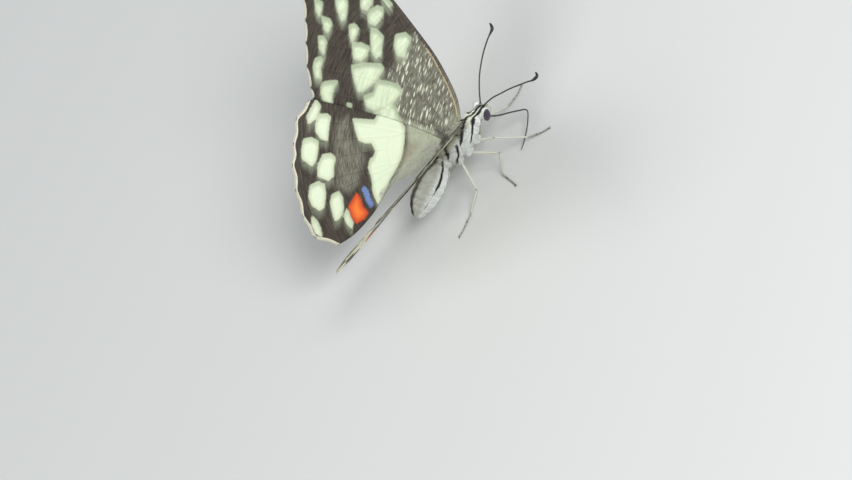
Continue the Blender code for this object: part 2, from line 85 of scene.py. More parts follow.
FOREWING_COSTA = [
    (-0.9, 1.7), (0.4, 3.3), (3.2, 5.7), (7.2, 7.6), (11.7, 9.2),
    (17.4, 10.5), (25.2, 12.0), (31.2, 12.6), (37.2, 12.1), (41.2, 10.6),
]
FOREWING_TERMEN = [
    (42.1, 9.0), (41.9, 6.5), (40.1, 3.7), (37.3, 0.8), (34.5, -2.1),
    (31.7, -5.3), (28.8, -8.5), (25.6, -11.1), (23.9, -12.4),
]
FOREWING_INNER = [(23.9, -12.4), (18.0, -9.3), (10.0, -5.4), (3.4, -2.9), (-0.9, -1.7)]
FOREWING_SCALLOP = 0.15
FOREWING_VEINS = {
    "subcosta": [(-0.6, 1.4), (3.4, 4.9), (11.5, 8.4), (19.0, 10.1), (24.6, 11.6)],
    "radius": [(-0.6, 0.9), (4.0, 3.6), (10.0, 6.2), (17.0, 8.3), (20.5, 8.3), (23.2, 7.5)],
    "r1": [(13.4, 7.4), (19.5, 9.3), (27.6, 12.0)],
    "r2": [(18.4, 8.4), (25.0, 10.2), (32.8, 12.3)],
    "r3": [(23.2, 7.5), (30.5, 10.3), (37.6, 11.8)],
    "r4": [(23.2, 7.5), (31.0, 8.6), (41.8, 9.3)],
    "r5": [(31.0, 8.6), (36.5, 7.9), (41.8, 6.5)],
    "cell_end": [(23.2, 7.5), (23.6, 5.1), (22.6, 3.1), (20.6, 1.7)],
    "m1": [(23.6, 6.2), (31.0, 5.6), (40.0, 3.8)],
    "m2": [(23.5, 4.8), (30.0, 3.0), (37.2, 0.9)],
    "m3": [(22.6, 3.1), (28.5, 0.6), (34.4, -2.0)],
    "cubitus": [(-0.6, 0.1), (6.0, 1.3), (13.0, 1.9), (20.6, 1.7)],
    "cua1": [(20.6, 1.7), (26.0, -1.5), (31.6, -5.2)],
    "cua2": [(10.8, 1.6), (17.0, -1.7), (28.7, -8.4)],
    "anal": [(-0.6, -0.7), (6.0, -2.2), (14.0, -5.4), (25.5, -10.9)],
}
HINDWING_COSTA = [(-0.9, 0.4), (3.0, 1.7), (9.0, -0.6), (16.5, -4.9), (22.2, -9.6), (24.4, -13.2)]
HINDWING_TERMEN = [
    (24.4, -13.2), (23.9, -17.3), (21.3, -21.2), (18.9, -24.3), (15.4, -27.5),
    (11.4, -30.4), (7.2, -32.0), (2.9, -30.2),
]
HINDWING_INNER = [
    (2.9, -30.2), (1.9, -26.6), (1.7, -21.5), (2.3, -17.0), (2.3, -14.2), (1.2, -12.0), (0.4, -10.0),
    (0.1, -6.6), (-0.9, -3.0),
]
HINDWING_SCALLOP = 0.36
HINDWING_VEINS = {
    "costal": [(-0.6, -0.1), (5.2, 0.0), (14.2, -4.6), (24.2, -13.4)],
    "radius": [(-0.6, -0.8), (3.2, -2.8), (6.4, -5.6), (8.5, -8.2)],
    "rs": [(6.4, -5.6), (13.2, -9.8), (23.7, -17.2)],
    "cell_end": [(8.5, -8.2), (7.4, -10.4), (4.9, -12.2)],
    "m1": [(8.5, -8.2), (14.8, -14.4), (21.2, -21.1)],
    "m2": [(7.4, -10.4), (13.4, -17.4), (18.8, -24.2)],
    "m3": [(5.2, -12.0), (10.7, -20.0), (15.3, -27.4)],
    "cubitus": [(-0.6, -1.5), (1.0, -5.2), (2.8, -9.0), (4.9, -12.2)],
    "cua1": [(3.9, -10.8), (8.6, -20.5), (11.4, -30.3)],
    "cua2": [(2.3, -8.0), (5.6, -18.0), (7.2, -31.9)],
    "anal": [(-0.5, -2.2), (1.2, -7.0), (3.1, -13.0), (3.0, -22.0), (3.0, -30.0)],
}

# The rows of scales run round this place, outward and forward
ROW_CENTRE = (-9.0, 6.0)
ROW_REACH = 22.0
DASH_HEADING = (0.40, 0.92)  # the way the pale dashes of the forewing's base lie
TRAIL_HEADING = np.array((0.64, 0.77))  # the pale spots are crisp on this side and powdery on the other

# Corners of the pale spots of the upper side, measured outward from the thorax's middle line
ROOT_TO_HINGE = 1.3
FOREWING_SPOTS = {
    "cell": [(21.2, 7.2), (19.9, 8.9), (18.3, 8.8), (17.7, 6.6), (16.8, 5.0), (18.2, 4.2), (20.0, 5.2)],
    "subapical": [
        (27.8, 7.6), (27.2, 9.2), (26.0, 9.6), (25.0, 8.4), (24.9, 5.8), (26.3, 5.3), (27.5, 6.3),
    ],
    "costal": [(27.4, 10.5), (27.2, 11.4), (24.9, 11.1), (25.0, 10.2)],
    "cell_front": [(30.6, 8.8), (29.2, 10.0), (28.1, 9.2), (27.9, 6.9), (29.0, 6.4), (30.2, 7.4)],
    "costal_outer": [(33.4, 9.7), (32.6, 11.3), (30.2, 11.1), (30.8, 9.9)],
    "disc_5": [
        (25.5, 5.1), (24.4, 5.7), (22.6, 5.6), (21.7, 4.1), (20.5, 2.4), (20.9, 1.2), (22.4, 1.5),
        (24.3, 3.4),
    ],
    "disc_outer": [(34.3, 5.0), (33.4, 6.8), (31.8, 6.0), (30.0, 3.1), (30.3, 2.2), (32.6, 3.3)],
    "disc_4": [(29.0, 2.8), (28.4, 3.8), (27.0, 3.6), (26.4, 1.8), (26.4, 0.5), (27.6, 1.1)],
    "disc_3": [
        (26.4, 0.6), (25.2, 1.8), (23.3, 2.3), (22.5, 0.6), (22.8, -1.1), (24.2, -1.7), (25.5, -0.6),
    ],
    "disc_2": [
        (23.9, -2.8), (22.2, -0.6), (19.6, 1.3), (18.6, 1.0), (18.2, -2.0), (18.9, -5.2), (19.6, -5.9),
        (22.2, -4.4),
    ],
    "disc_1": [
        (18.3, -1.4), (16.3, -0.2), (14.4, 0.5), (13.3, 0.0), (13.1, -2.4), (13.6, -4.6),
        (15.0, -6.6), (16.8, -7.0), (18.4, -5.8), (17.5, -3.9), (18.0, -2.8),
    ],
    "inner": [
        (13.9, -3.2), (12.4, -3.0), (11.0, -3.9), (9.6, -4.3), (8.6, -6.5), (12.0, -9.4), (14.7, -10.0),
        (14.7, -6.2),
    ],
    "outer_8": [(39.8, 5.1), (38.6, 5.9), (37.4, 5.0), (36.6, 3.5), (37.8, 3.4)],
    "outer_9": [(39.6, 8.4), (38.4, 9.3), (37.0, 8.9), (36.4, 7.8), (38.0, 7.4)],
    "outer_10": [(36.6, 10.2), (35.6, 11.3), (34.0, 11.2), (33.9, 10.3)],
    "outer_7": [(37.2, 2.4), (35.5, 2.8), (34.6, 1.6), (34.1, 0.1), (35.4, 0.4)],
    "outer_6": [(34.1, 0.6), (32.4, 1.4), (31.3, 0.8), (30.9, -1.2), (32.0, -1.2), (33.0, -0.4)],
    "outer_5": [(32.2, -2.6), (31.4, -1.9), (30.2, -2.2), (29.5, -3.7), (28.8, -4.8), (30.4, -4.6)],
    "outer_4": [
        (30.0, -6.4), (29.5, -5.3), (28.6, -5.3), (27.9, -6.9), (26.4, -8.6), (27.4, -9.2), (29.2, -8.0),
    ],
    "outer_3": [
        (26.0, -8.6), (25.0, -7.4), (23.9, -6.5), (23.6, -8.0), (22.8, -9.6), (21.7, -11.1),
        (22.9, -11.7), (24.8, -10.9), (25.9, -9.6),
    ],
    "outer_2": [(20.1, -8.7), (19.2, -8.1), (18.6, -8.9), (19.0, -9.7)],
}
HINDWING_SPOTS = {
    "band": [
        (13.5, -3.4), (10.4, -4.2), (8.7, -4.9), (6.9, -7.2), (5.7, -9.2), (5.0, -11.4), (4.6, -14.2),
        (3.9, -17.0), (3.3, -19.5), (4.6, -18.9), (5.8, -18.1), (6.9, -16.9), (7.9, -16.2), (9.0, -15.6),
        (9.8, -14.2), (9.6, -13.2), (10.2, -12.2), (11.9, -11.2), (12.9, -12.2), (14.1, -12.6),
        (15.6, -11.6), (17.4, -10.2), (16.3, -9.4), (15.0, -8.4), (14.0, -7.6), (14.4, -5.6),
    ],
    "edge_7": [(24.9, -12.0), (23.4, -12.3), (22.4, -14.9), (22.9, -16.7), (24.2, -15.8)],
    "edge_6": [
        (22.8, -13.8), (21.7, -12.7), (20.7, -12.6), (19.8, -14.0), (18.1, -16.7), (19.2, -17.2),
        (21.0, -16.9), (22.2, -15.6),
    ],
    "edge_5": [
        (22.0, -19.2), (21.0, -17.9), (19.5, -17.6), (18.5, -18.7), (17.3, -21.0), (17.3, -22.2),
        (19.7, -22.4), (21.1, -20.9),
    ],
    "edge_4": [
        (17.4, -19.0), (16.3, -17.8), (15.1, -17.8), (14.1, -19.4), (13.0, -21.0), (13.2, -22.3),
        (15.3, -23.0), (16.8, -21.4),
    ],
    "edge_3": [
        (15.5, -25.0), (14.8, -23.4), (13.5, -23.0), (11.9, -24.4), (10.6, -26.7), (10.9, -27.7),
        (12.6, -27.9), (14.3, -27.0),
    ],
    "edge_2": [
        (11.3, -23.7), (10.7, -22.3), (9.5, -22.6), (7.6, -24.4), (7.1, -26.4), (7.5, -27.3),
        (9.0, -26.4), (10.7, -25.0),
    ],
    "edge_1": [(7.5, -23.8), (6.4, -24.2), (4.6, -25.3), (4.1, -26.3), (5.6, -26.3), (7.1, -25.4)],
    "margin_2": [(11.6, -29.2), (10.4, -29.2), (8.8, -29.9), (7.4, -31.2), (8.6, -31.5), (10.5, -30.7)],
}
EYESPOT_ORANGE = [
    (7.9, -20.4), (6.8, -20.7), (5.3, -21.5), (3.7, -21.9), (3.5, -23.4), (4.2, -25.0), (5.7, -24.7),
    (7.5, -23.5),
]
EYESPOT_BLUE = [
    (7.7, -18.5), (6.6, -18.6), (5.2, -19.5), (3.9, -20.2), (4.0, -20.9), (5.3, -20.5), (6.8, -19.6),
    (7.7, -19.1),
]
FOREWING_BASE_END = 17.6  # where the speckled base of the forewing ends
HINDWING_DUST = [
    (18.4, -10.4), (19.2, -12.6), (17.0, -16.2), (13.6, -19.4), (11.4, -22.2), (8.8, -21.8),
    (8.6, -19.0), (9.8, -16.6), (11.6, -13.4), (13.8, -13.6), (16.0, -12.6),
]
# Pale line along the hindwing's front edge: its width and the share of the edge that it covers
FRONT_LINE_WIDTH = 0.42
FRONT_LINE_END = 0.68
HINDWING_BASE = [
    (-1.0, -1.0), (4.0, 1.0), (9.6, -1.6), (9.2, -4.2), (6.4, -7.0), (5.2, -9.6), (4.2, -14.0),
    (3.0, -20.0), (0.0, -20.0),
]
TRAIL_STEPS = (0.4, 0.8, 1.2, 1.6)  # how far behind a pale spot its powder is looked for
# The underside's row of black spots with blue and ochre centres, just outside the pale band
UNDER_EYESPOTS = [(20.6, -11.6), (18.2, -13.4), (15.9, -15.6), (13.2, -17.6), (10.6, -19.4), (8.3, -20.6)]
FOREWING_REACH = 42.0  # the veins narrow from the root to this distance
HINDWING_REACH = 32.0
NOWHERE = -9.0  # a mark's depth where the wing has none of it
UNDER_SPOT_GROWTH = 0.45  # the pale spots are this much larger on the underside
SPECKLE_FRONT = [(1.3, 1.6), (4.8, 5.1), (12.8, 8.6), (20.3, 10.3)]  # the speckles end before this line
# Soft ovals: middle, half sizes
# The forewing's dark oval at its root is painted shade where the wing meets the body
FOREWING_ROOT_SHADE = ((2.3, -1.2), (1.7, 1.5))
HINDWING_CLOUD = ((5.3, -8.0), (1.2, 3.0))
# The pale rays of the forewing's underside: outward end and its place forward
UNDER_RAYS = [(16.5, 6.7), (17.6, 5.4), (17.8, 4.1), (16.6, 2.9)]
UNDER_RAY_HALF_WIDTH = 0.34
VEIN_ROWS = [0, 0.15, -0.15, 0.34, -0.34]  # rows of points beside each vein
FACE_SHIFT = (0, 0, 5)  # sets the lower face's grain apart from the upper face's

# The body: forward, up from its middle line, half width, half height
THORAX = [
    (5.0, 0.50, 0.55, 0.60), (4.7, 0.45, 1.15, 1.20), (3.9, 0.30, 1.75, 1.80), (2.7, 0.10, 2.15, 2.30),
    (1.0, 0.00, 2.38, 2.60), (-1.0, -0.10, 2.38, 2.60), (-2.8, -0.20, 2.10, 2.30),
    (-4.1, -0.30, 1.60, 1.75), (-4.75, -0.35, 0.90, 1.00),
]
ABDOMEN_AXIS = [(-5.35, -0.37), (-8.0, -1.15), (-11.3, -2.15), (-14.1, -3.0), (-16.7, -4.1)]
ABDOMEN_HALF_WIDTH = [1.30, 2.35, 2.62, 2.35, 1.15]
ABDOMEN_HALF_HEIGHT = [1.45, 2.80, 3.00, 2.50, 1.20]
ABDOMEN_SEGMENTS = 8
COAT_DEPTH = 0.16
SKIN_VOXEL = 0.11
# Closed forms that are fused with thorax and abdomen into the skin: middle and half sizes. The head's are
# in its own turned axes, the others from the thorax's middle line; the paired ones also have a lean.
HEAD_FORMS = [
    ((0, 0, 0), (1.12, 1.22, 1.44)), ((0.55, 0, -0.1), (0.8, 0.72, 1.15)),
    ((-0.15, 0, 0.55), (0.95, 0.85, 0.85)),
]
MIDDLE_FORMS = [
    ((5.5, 0, 0.2), (1.2, 0.85, 1.0)), ((4.6, 0, 0.35), (0.9, 1.35, 1.45)),
    ((5.4, 0.05, 0.85), (1.35, 0.85, 0.9)), ((-3.2, 0, 1.15), (1.1, 1.2, 0.9)),
    ((-4.9, 0, -0.4), (1.4, 1.4, 1.5)),
]
PAIRED_FORMS = [
    ((1.5, 1.85, 1.3), (1.35, 0.62, 0.75), 0.5), ((-0.9, 1.7, 1.5), (1.6, 0.7, 0.7), 0.5),
    ((4.5, 0.62, 1.05), (1.0, 0.66, 0.8), 0), ((2.0, 1.0, -1.8), (0.85, 0.75, 1.0), 0),
    ((-0.6, 1.1, -1.95), (0.95, 0.85, 1.1), 0), ((-3.0, 1.0, -1.75), (0.9, 0.75, 1.0), 0),
]
SKIN_SIDES = 64
SKIN_REAR = -18.5  # the unwrap's rear end and length along the body
SKIN_LENGTH = 28.0
STEP_RISE = 0.15  # how far each ring of the abdomen steps in behind the one before
THORAX_REAR = -5.4  # the abdomen's scales begin here
NECK = 5.6  # the head's hair begins here
COAT_SHARE = 1.0
# Hair and scales: how many to a square millimetre, the least width and what is added to it, how unruly
COATS = {
    "thorax_hair": (84, (0.028, 0.012), 0.18),
    "head_hair": (120, (0.022, 0.010), 0.18),
    "abdomen_scales": (52, (0.032, 0.012), 0.12),
    "palp_hair": (110, (0.022, 0.008), 0.25),
}
LENS_RADIUS = 0.038  # of an eye's lenses, as a share of the eye
LENS_RISE = 0.010
# A blade's seven points: two rings of three and the tip, and where they lie on their patch of the unwrap
BLADE_POINTS = 7
BLADE_PATCH = [(-1, -1), (1, -1), (0, -1), (-1, 0.4), (1, 0.4), (0, 0.4), (0, 1)]
BLADE_PATCH_SIZE = 0.0015
# Black lines of the body: forward, angle round from the back's middle line in degrees, half width
BODY_LINES = [
    [(8.6, 0, 0.24), (6.2, 0, 0.29), (4.7, 0, 0.31), (4.1, 6, 0.31), (3.1, 26, 0.27), (2.4, 43, 0.25),
     (1.4, 54, 0.23), (0.2, 68, 0.22)],
    [(7.8, 14, 0.14), (6.9, 24, 0.25), (5.9, 42, 0.31), (4.9, 60, 0.35), (3.9, 77, 0.27), (2.9, 91, 0.22),
     (1.5, 112, 0.20)],
    [(-0.5, 58, 0.26), (-1.3, 84, 0.28), (-2.0, 106, 0.24), (-3.1, 130, 0.2)],
    [(-1.8, 22, 0.32), (-2.7, 45, 0.37), (-3.7, 74, 0.17)],
    [(-4.8, 54, 0.22), (-5.9, 82, 0.25), (-8.3, 89, 0.32), (-9.4, 87, 0.29),
     (-10.3, 85, 0.12), (-12.6, 80, 0.0)],
    [(-12.9, 79, 0.08), (-14.6, 76, 0.08)],
    [(4.4, 0, 0.24), (3.4, 0, 0.13), (2.6, 0, 0.02)],
    [(1.0, 8, 0.14), (1.45, 42, 0.18)],
    [(-3.3, 0, 0.10), (-4.6, 0, 0.38), (-5.6, 0, 0.10)],
    [(-14.0, 0, 0.05), (-15.2, 0, 0.26), (-16.8, 0, 0.20)],
    [(-5.4, 146, 0.12), (-15.0, 142, 0.12)],
]

TOE_LEVEL = 0.19 - BODY_HEIGHT  # middle of the foot's end
# Hip, its lower end, knee, ankle and toe: forward, outward, up from the body's middle line
LEGS = {
    "front": [
        (2.0, 0.95, -1.2), (2.1, 1.25, -2.7), (4.4, 3.0, -3.7), (8.5, 5.0, -8.6), (12.3, 6.7, TOE_LEVEL),
    ],
    "middle": [
        (-0.6, 1.0, -1.4), (-0.7, 1.4, -3.0), (3.1, 5.0, -5.5), (-0.1, 5.5, -9.0), (0.5, 9.7, TOE_LEVEL),
    ],
    "hind": [
        (-2.9, 0.95, -1.3), (-3.2, 1.35, -2.9), (-5.5, 4.6, -7.3), (-9.8, 5.7, -9.0),
        (-14.3, 6.9, TOE_LEVEL),
    ],
}
LEFT_LEG_SHIFT = 0.5
FOOT_LENGTH = 1.5
FOOT_CUTS = [0, 0.40, 0.58, 0.73, 0.86, 1.0]  # shares of the foot where its joints meet
FOOT_RADIUS = 0.135
FOOT_SPINES = 14
SPINE = (0.26, 0.16, 0.028)  # length ahead and outward, radius
SPUR = (0.95, 0.3, 0.06)
# A leg's limbs: radius at both ends, swelling between them, how dark the ends are
LIMBS = {
    "hip": (0.50, 0.38, 0.10, 0.2),
    "thigh": (0.27, 0.20, 0.06, 0.55),
    "shin": (0.17, 0.17, 0.03, 0.55),
}
CLAW = [(-0.1, 0, 0), (0.22, 0.12, 0.05), (0.42, 0.2, -0.16)]  # ahead, outward and up from the toe
CLAW_RADII = [0, 0.06, 0.06, 0.055, 0.05, 0.045, 0.035, 0.02, 0]
ANTENNA_RINGS = 46
TONGUE_RINGS = 110
# Feelers, tongue and palps, from the head's middle; feelers and palps in the head's turned axes
ANTENNA_BASE = (0.6, 0.38, 1.42)
LEFT_ANTENNA = [
    (2.1, 2.4, 2.5), (3.8, 4.2, 3.85), (5.45, 5.4, 5.2), (7.05, 6.25, 6.55), (8.7, 6.75, 8.05),
    (9.55, 6.8, 8.85), (10.15, 6.95, 9.35), (10.45, 7.5, 9.55), (10.6, 8.25, 9.65),
]
RIGHT_ANTENNA = [
    (2.35, -1.5, 3.1), (3.55, -2.95, 4.5), (4.95, -4.8, 6.25), (6.25, -6.8, 7.9), (7.25, -8.4, 9.2),
    (7.7, -9.35, 9.9), (8.35, -9.9, 10.6), (8.75, -9.8, 10.95), (8.9, -9.05, 11.0),
]
TONGUE = [
    (-0.2, 0.1, -1.2), (0.1, 0.0, -2.35), (1.4, -0.55, -3.7), (2.9, -0.9, -4.9), (4.3, -1.2, -6.2),
    (4.95, -1.35, -6.95), (4.8, -1.8, -7.5), (3.0, -3.0, -8.3), (0.6, -4.25, -9.0), (-1.2, -4.9, -9.4),
]
PALP = [(0.75, 0.36, -1.2), (1.4, 0.4, -0.85), (1.62, 0.4, -0.25), (1.58, 0.34, 0.35)]
PALP_RADII = [0.24, 0.30, 0.27, 0.12]

# The camera, in the body's frame
CAMERA_AIM = (0.0, 0.0, 20.0)
CAMERA_AZIMUTH = math.radians(17.13)
CAMERA_ELEVATION = math.radians(39.44)
CAMERA_ROLL = math.radians(-61.51)
CAMERA_DISTANCE = 1200.0
CAMERA_LENS = 275.45
FRAMING = (1.02, -22.32)  # where the frame's middle lies beside and above the aim
# Lamps: place and size in metres, power
LAMPS = {
    "key_light": ((0.40, -0.50, 0.52), 0.35, 6.5),
    "fill_light": ((-0.45, 0.05, 0.7), 0.5, 2.2),
}
SKY_COLOUR = (0.93, 0.97, 1.0, 1.0)
SKY_STRENGTH = 0.36
FLOOR_REACH = 3000

thorax_low, thorax_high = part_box("thorax")
SHIFT = Vector((thorax_high[0] - THORAX_FRONT * MM, (thorax_low[1] + thorax_high[1]) / 2, 0.0))


# Curves and distances

def curve(points, per_span):
    """Points on a Catmull-Rom curve through the given ones."""
    points = np.array(points, float)
    ends = np.vstack([2 * points[0] - points[1], points, 2 * points[-1] - points[-2]])
    found = []
    for a, b, c, d in zip(ends, ends[1:], ends[2:], ends[3:]):
        for k in range(per_span):
            t = k / per_span
            bent = (2 * a - 5 * b + 4 * c - d) * t**2 + (3 * b - a - 3 * c + d) * t**3
            found.append(0.5 * (2 * b + (c - a) * t + bent))
    return np.array(found + [points[-1]])


def even(points, step):
    """The polyline cut anew into equal stretches of about this length."""
    lengths = np.concatenate([[0], np.cumsum(np.linalg.norm(np.diff(points, axis=0), axis=1))])
    count = max(2, round(lengths[-1] / step))
    at = np.linspace(0, lengths[-1], count + 1)
    return np.stack([np.interp(at, lengths, points[:, k]) for k in range(points.shape[1])], axis=1)


def line_distance(points, line):
    """Each point's distance to a polyline, and how far along it the nearest place is, from 0 to 1."""
    best = np.full(len(points), 1e9)
    share = np.zeros(len(points))
    last = max(len(line) - 1, 1)
    for k, (a, b) in enumerate(zip(line, line[1:])):
        along = b - a
        t = np.clip((points - a) @ along / max(along @ along, 1e-12), 0, 1)
        gap = np.linalg.norm(points - a - t[:, None] * along, axis=1)
        nearer = gap < best
        best = np.where(nearer, gap, best)
        share = np.where(nearer, (k + t) / last, share)
    return best, share


def polygon_depth(points, polygon):
    """How deep each point lies inside a polygon; negative outside."""
    polygon = np.array(polygon, float)
    gap, _ = line_distance(points, np.vstack([polygon, polygon[:1]]))
    inside = np.zeros(len(points), bool)
    for a, b in zip(polygon, np.roll(polygon, -1, axis=0)):
        crosses = (a[1] > points[:, 1]) != (b[1] > points[:, 1])
        if abs(b[1] - a[1]) > 1e-12:
            at = a[0] + (points[:, 1] - a[1]) * (b[0] - a[0]) / (b[1] - a[1])
            inside ^= crosses & (points[:, 0] < at)
    return np.where(inside, gap, -gap)


def spots_depth(points, spots, growth=0.0, rounding=0.26):
    """The deepest of the round-cornered spots at each point."""
    depth = np.full(len(points), NOWHERE)
    for polygon in spots:
        polygon = np.array(polygon, float) - (ROOT_TO_HINGE, 0)
        middle = polygon.mean(axis=0)
        reach = np.linalg.norm(polygon - middle, axis=1, keepdims=True)
        shrunk = polygon + (middle - polygon) / reach * np.minimum(rounding, 0.4 * reach)
        depth = np.maximum(depth, polygon_depth(points, shrunk) + rounding * 0.85 + growth)
    return depth


def fade(value, start, end):
    """Smooth step from 0 at start to 1 at end."""
    t = np.clip((value - start) / (end - start), 0, 1)
    return t * t * (3 - 2 * t)


def oval(points, shape, start, end):
    """A soft oval, from its middle and half sizes."""
    middle, half = shape
    return fade(np.linalg.norm((points - middle) / half, axis=1), start, end)


def unit(vectors):
    """The vectors with length 1."""
    return vectors / np.linalg.norm(vectors, axis=-1, keepdims=True)


# Meshes

def new_piece(name, vertices, faces, colour, smooth=True, shift=SHIFT):
    """A named mesh from points in millimetres of the body's frame."""
    mesh = bpy.data.meshes.new(name)
    mesh.from_pydata(np.asarray(vertices, float) * MM + np.array(shift), [], faces)
    mesh.validate()
    if smooth:
        mesh.shade_smooth()
    mesh.materials.append(colour)
    piece = bpy.data.objects.new(name, mesh)
    bpy.context.scene.collection.objects.link(piece)
    return piece


def attribute(piece, name, values):
    """A number at each vertex."""
    layer = piece.data.attributes.new(name, "FLOAT", "POINT")
    layer.data.foreach_set("value", np.asarray(values, np.float32))


def vector_attribute(piece, name, values):
    """A vector at each vertex."""
    layer = piece.data.attributes.new(name, "FLOAT_VECTOR", "POINT")
    layer.data.foreach_set("vector", np.asarray(values, np.float32).ravel())


def add_values(piece, values, places):
    """What a piece's paint reads at each vertex."""
    for key, each in values.items():
        attribute(piece, key, each)
    vector_attribute(piece, "place", places)


def bake_map(piece, uv):
    """A UV map from one place per vertex."""
    layer = piece.data.uv_layers.new(name="OFBake")
    index = np.empty(len(piece.data.loops), np.int32)
    piece.data.loops.foreach_get("vertex_index", index)
    layer.data.foreach_set("uv", np.asarray(uv, np.float32)[index].ravel())


def finish_piece(piece, slot, *nodes):
    """Hides the solids that it takes the place of and sets what it rides on; the slot is not used."""
    if nodes:
        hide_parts(*nodes)
    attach(piece, "root")


def tube(path, half_widths, half_heights, sides, start_side=(0, 1, 0), profile=None):
    """Vertices and faces of a closed tube of oval rings, with a point at each end."""
    path = np.array(path, float)
    side = np.array(start_side, float)
    turns = 2 * np.pi * np.arange(sides) / sides
    shape = np.ones(sides) if profile is None else profile(turns)
    vertices = [path[0]]
    last = len(path) - 1
    for k in range(1, last):
        before = path[k] - path[k - 1]
        after = path[k + 1] - path[k]
        along = unit(unit(before) + unit(after))
        side = unit(side - along * (side @ along))
        up = np.cross(along, side)
        for turn, swell in zip(turns, shape):
            off = side * math.cos(turn) * half_widths[k] + up * math.sin(turn) * half_heights[k]
            vertices.append(path[k] + off * swell)
    vertices.append(path[last])
    faces = []
    rings = last - 1
    for n in range(sides):
        after = (n + 1) % sides
        faces.append((0, 1 + after, 1 + n))
        for ring in range(rings - 1):
            low = 1 + ring * sides
            faces.append((low + n, low + after, low + sides + after, low + sides + n))
        top = 1 + (rings - 1) * sides
        faces.append((top + n, top + after, len(vertices) - 1))
    return np.array(vertices), faces


def ellipsoid(centre, half_size, turn=None, sides=40, rings=24):
    """Vertices and faces of an ellipsoid, its poles along x, then turned."""
    angle = np.pi * np.arange(rings + 1) / rings
    path = np.stack([-half_size[0] * np.cos(angle), 0 * angle, 0 * angle], axis=1)
    vertices, faces = tube(path, half_size[1] * np.sin(angle), half_size[2] * np.sin(angle), sides)
    if turn is not None:
        vertices = vertices @ turn.T
    return vertices + np.array(centre), faces


def joined(parts):
    """Several (vertices, faces) as one."""
    vertices, faces = [], []
    count = 0
    for points, polygons in parts:
        vertices.append(points)
        faces += [tuple(count + n for n in polygon) for polygon in polygons]
        count += len(points)
    return np.vstack(vertices), faces


def blades(roots, normals, directions, lengths, widths, bend):
    """A thin tapering three-sided blade at each root; widths and bend may be one number."""
    across = np.cross(directions, normals)
    across /= np.maximum(np.linalg.norm(across, axis=1, keepdims=True), 1e-9)
    rise = np.cross(across, directions)
    lengths, widths, bend = (np.broadcast_to(v, len(roots))[:, None] for v in (lengths, widths, bend))
    base = roots - directions * 0.06
    middle = roots + directions * lengths * 0.5 + normals * lengths * bend
    tip = roots + directions * lengths
    corners = []
    for centre, size in ((base, 1.0), (middle, 0.8)):
        corners += [
            centre + across * widths * size,
            centre - across * widths * size,
            centre + rise * widths * size * 0.7,
        ]
    vertices = np.stack([*corners, tip], axis=1).reshape(-1, 3)
    pattern = [(0, 2, 1), (0, 1, 4, 3), (1, 2, 5, 4), (2, 0, 3, 5), (3, 4, 6), (4, 5, 6), (5, 3, 6)]
    starts = range(0, len(vertices), BLADE_POINTS)
    faces = [tuple(start + k for k in polygon) for start in starts for polygon in pattern]
    return vertices, faces


# Materials

class Paint:
    """A Principled material put together from a few kinds of node."""

    def __init__(self, name, roughness=0.6):
        self.material = bpy.data.materials.new(name)
        self.material.use_nodes = True
        self.tree = self.material.node_tree
        self.shader = self.tree.nodes["Principled BSDF"]
        self.finish("Roughness", roughness)

    def put(self, value, socket):
        """Links another node's output, or sets a fixed number or colour."""
        if hasattr(value, "links"):
            self.tree.links.new(value, socket)
        elif socket.type == "RGBA" and len(value) == 3:
            socket.default_value = (*value, 1.0)
        else:
            socket.default_value = value

    def finish(self, socket, value):
        """One of the shader's own inputs."""
        self.put(value, self.shader.inputs[socket])

    def node(self, kind, settings=(), **inputs):
        """A new node with its settings and inputs; an input's name has _ for a space."""
        node = self.tree.nodes.new("ShaderNode" + kind)
        for name, value in settings:
            setattr(node, name, value)
        for name, value in inputs.items():
            self.put(value, node.inputs[name.replace("_", " ")])
        return node

    def value(self, name, output="Fac"):
        """An attribute's value at each point."""
        return self.node("Attribute", [("attribute_name", name)]).outputs[output]

    def place(self, name="place", scale=(1.0, 1.0, 1.0), shift=(0.0, 0.0, 0.0)):
        """A vector attribute, stretched and moved."""
        vector = self.value(name, "Vector")
        return self.node("Mapping", Vector=vector, Scale=scale, Location=shift).outputs["Vector"]

    def noise(self, vector, scale=1.0, detail=3.0, rough=0.55):
        """A cloudy value, 0 to 1."""
        node = self.node("TexNoise", Vector=vector, Scale=scale, Detail=detail, Roughness=rough)
        return node.outputs["Fac"]

    def cells(self, vector, output="Distance", random=1.0):
        """The distance to the middle of a cell, or the cell's own colour."""
        return self.node("TexVoronoi", Vector=vector, Scale=1.0, Randomness=random).outputs[output]

    def math(self, operation, a, b, clamp=False):
        """Two values or numbers put together."""
        node = self.node("Math", [("operation", operation), ("use_clamp", clamp)])
        self.put(a, node.inputs[0])
        self.put(b, node.inputs[1])
        return node.outputs[0]

    def plus(self, a, b):
        return self.math("ADD", a, b)

    def times(self, a, b, clamp=False):
        return self.math("MULTIPLY", a, b, clamp)

    def shifted(self, value, size):
        """The value less its middle, as a small positive or negative amount."""
        return self.times(self.math("SUBTRACT", value, 0.5), size)

    def ramp(self, value, low, high, out_low=0.0, out_high=1.0):
        """A clamped linear change between two values."""
        ends = {"From_Min": low, "From_Max": high, "To_Min": out_low, "To_Max": out_high}
        return self.node("MapRange", Value=value, **ends).outputs["Result"]

    def mix(self, share, a, b):
        """Colour a where share is 0, colour b where it is 1."""
        return self.node("Mix", [("data_type", "RGBA")], Factor=share, A=a, B=b).outputs["Result"]

    def bump(self, height, distance, strength):
        """Fine relief of the finish; the distance is in metres."""
        bump = self.node("Bump", Height=height, Distance=distance, Strength=strength)
        self.finish("Normal", bump.outputs["Normal"])


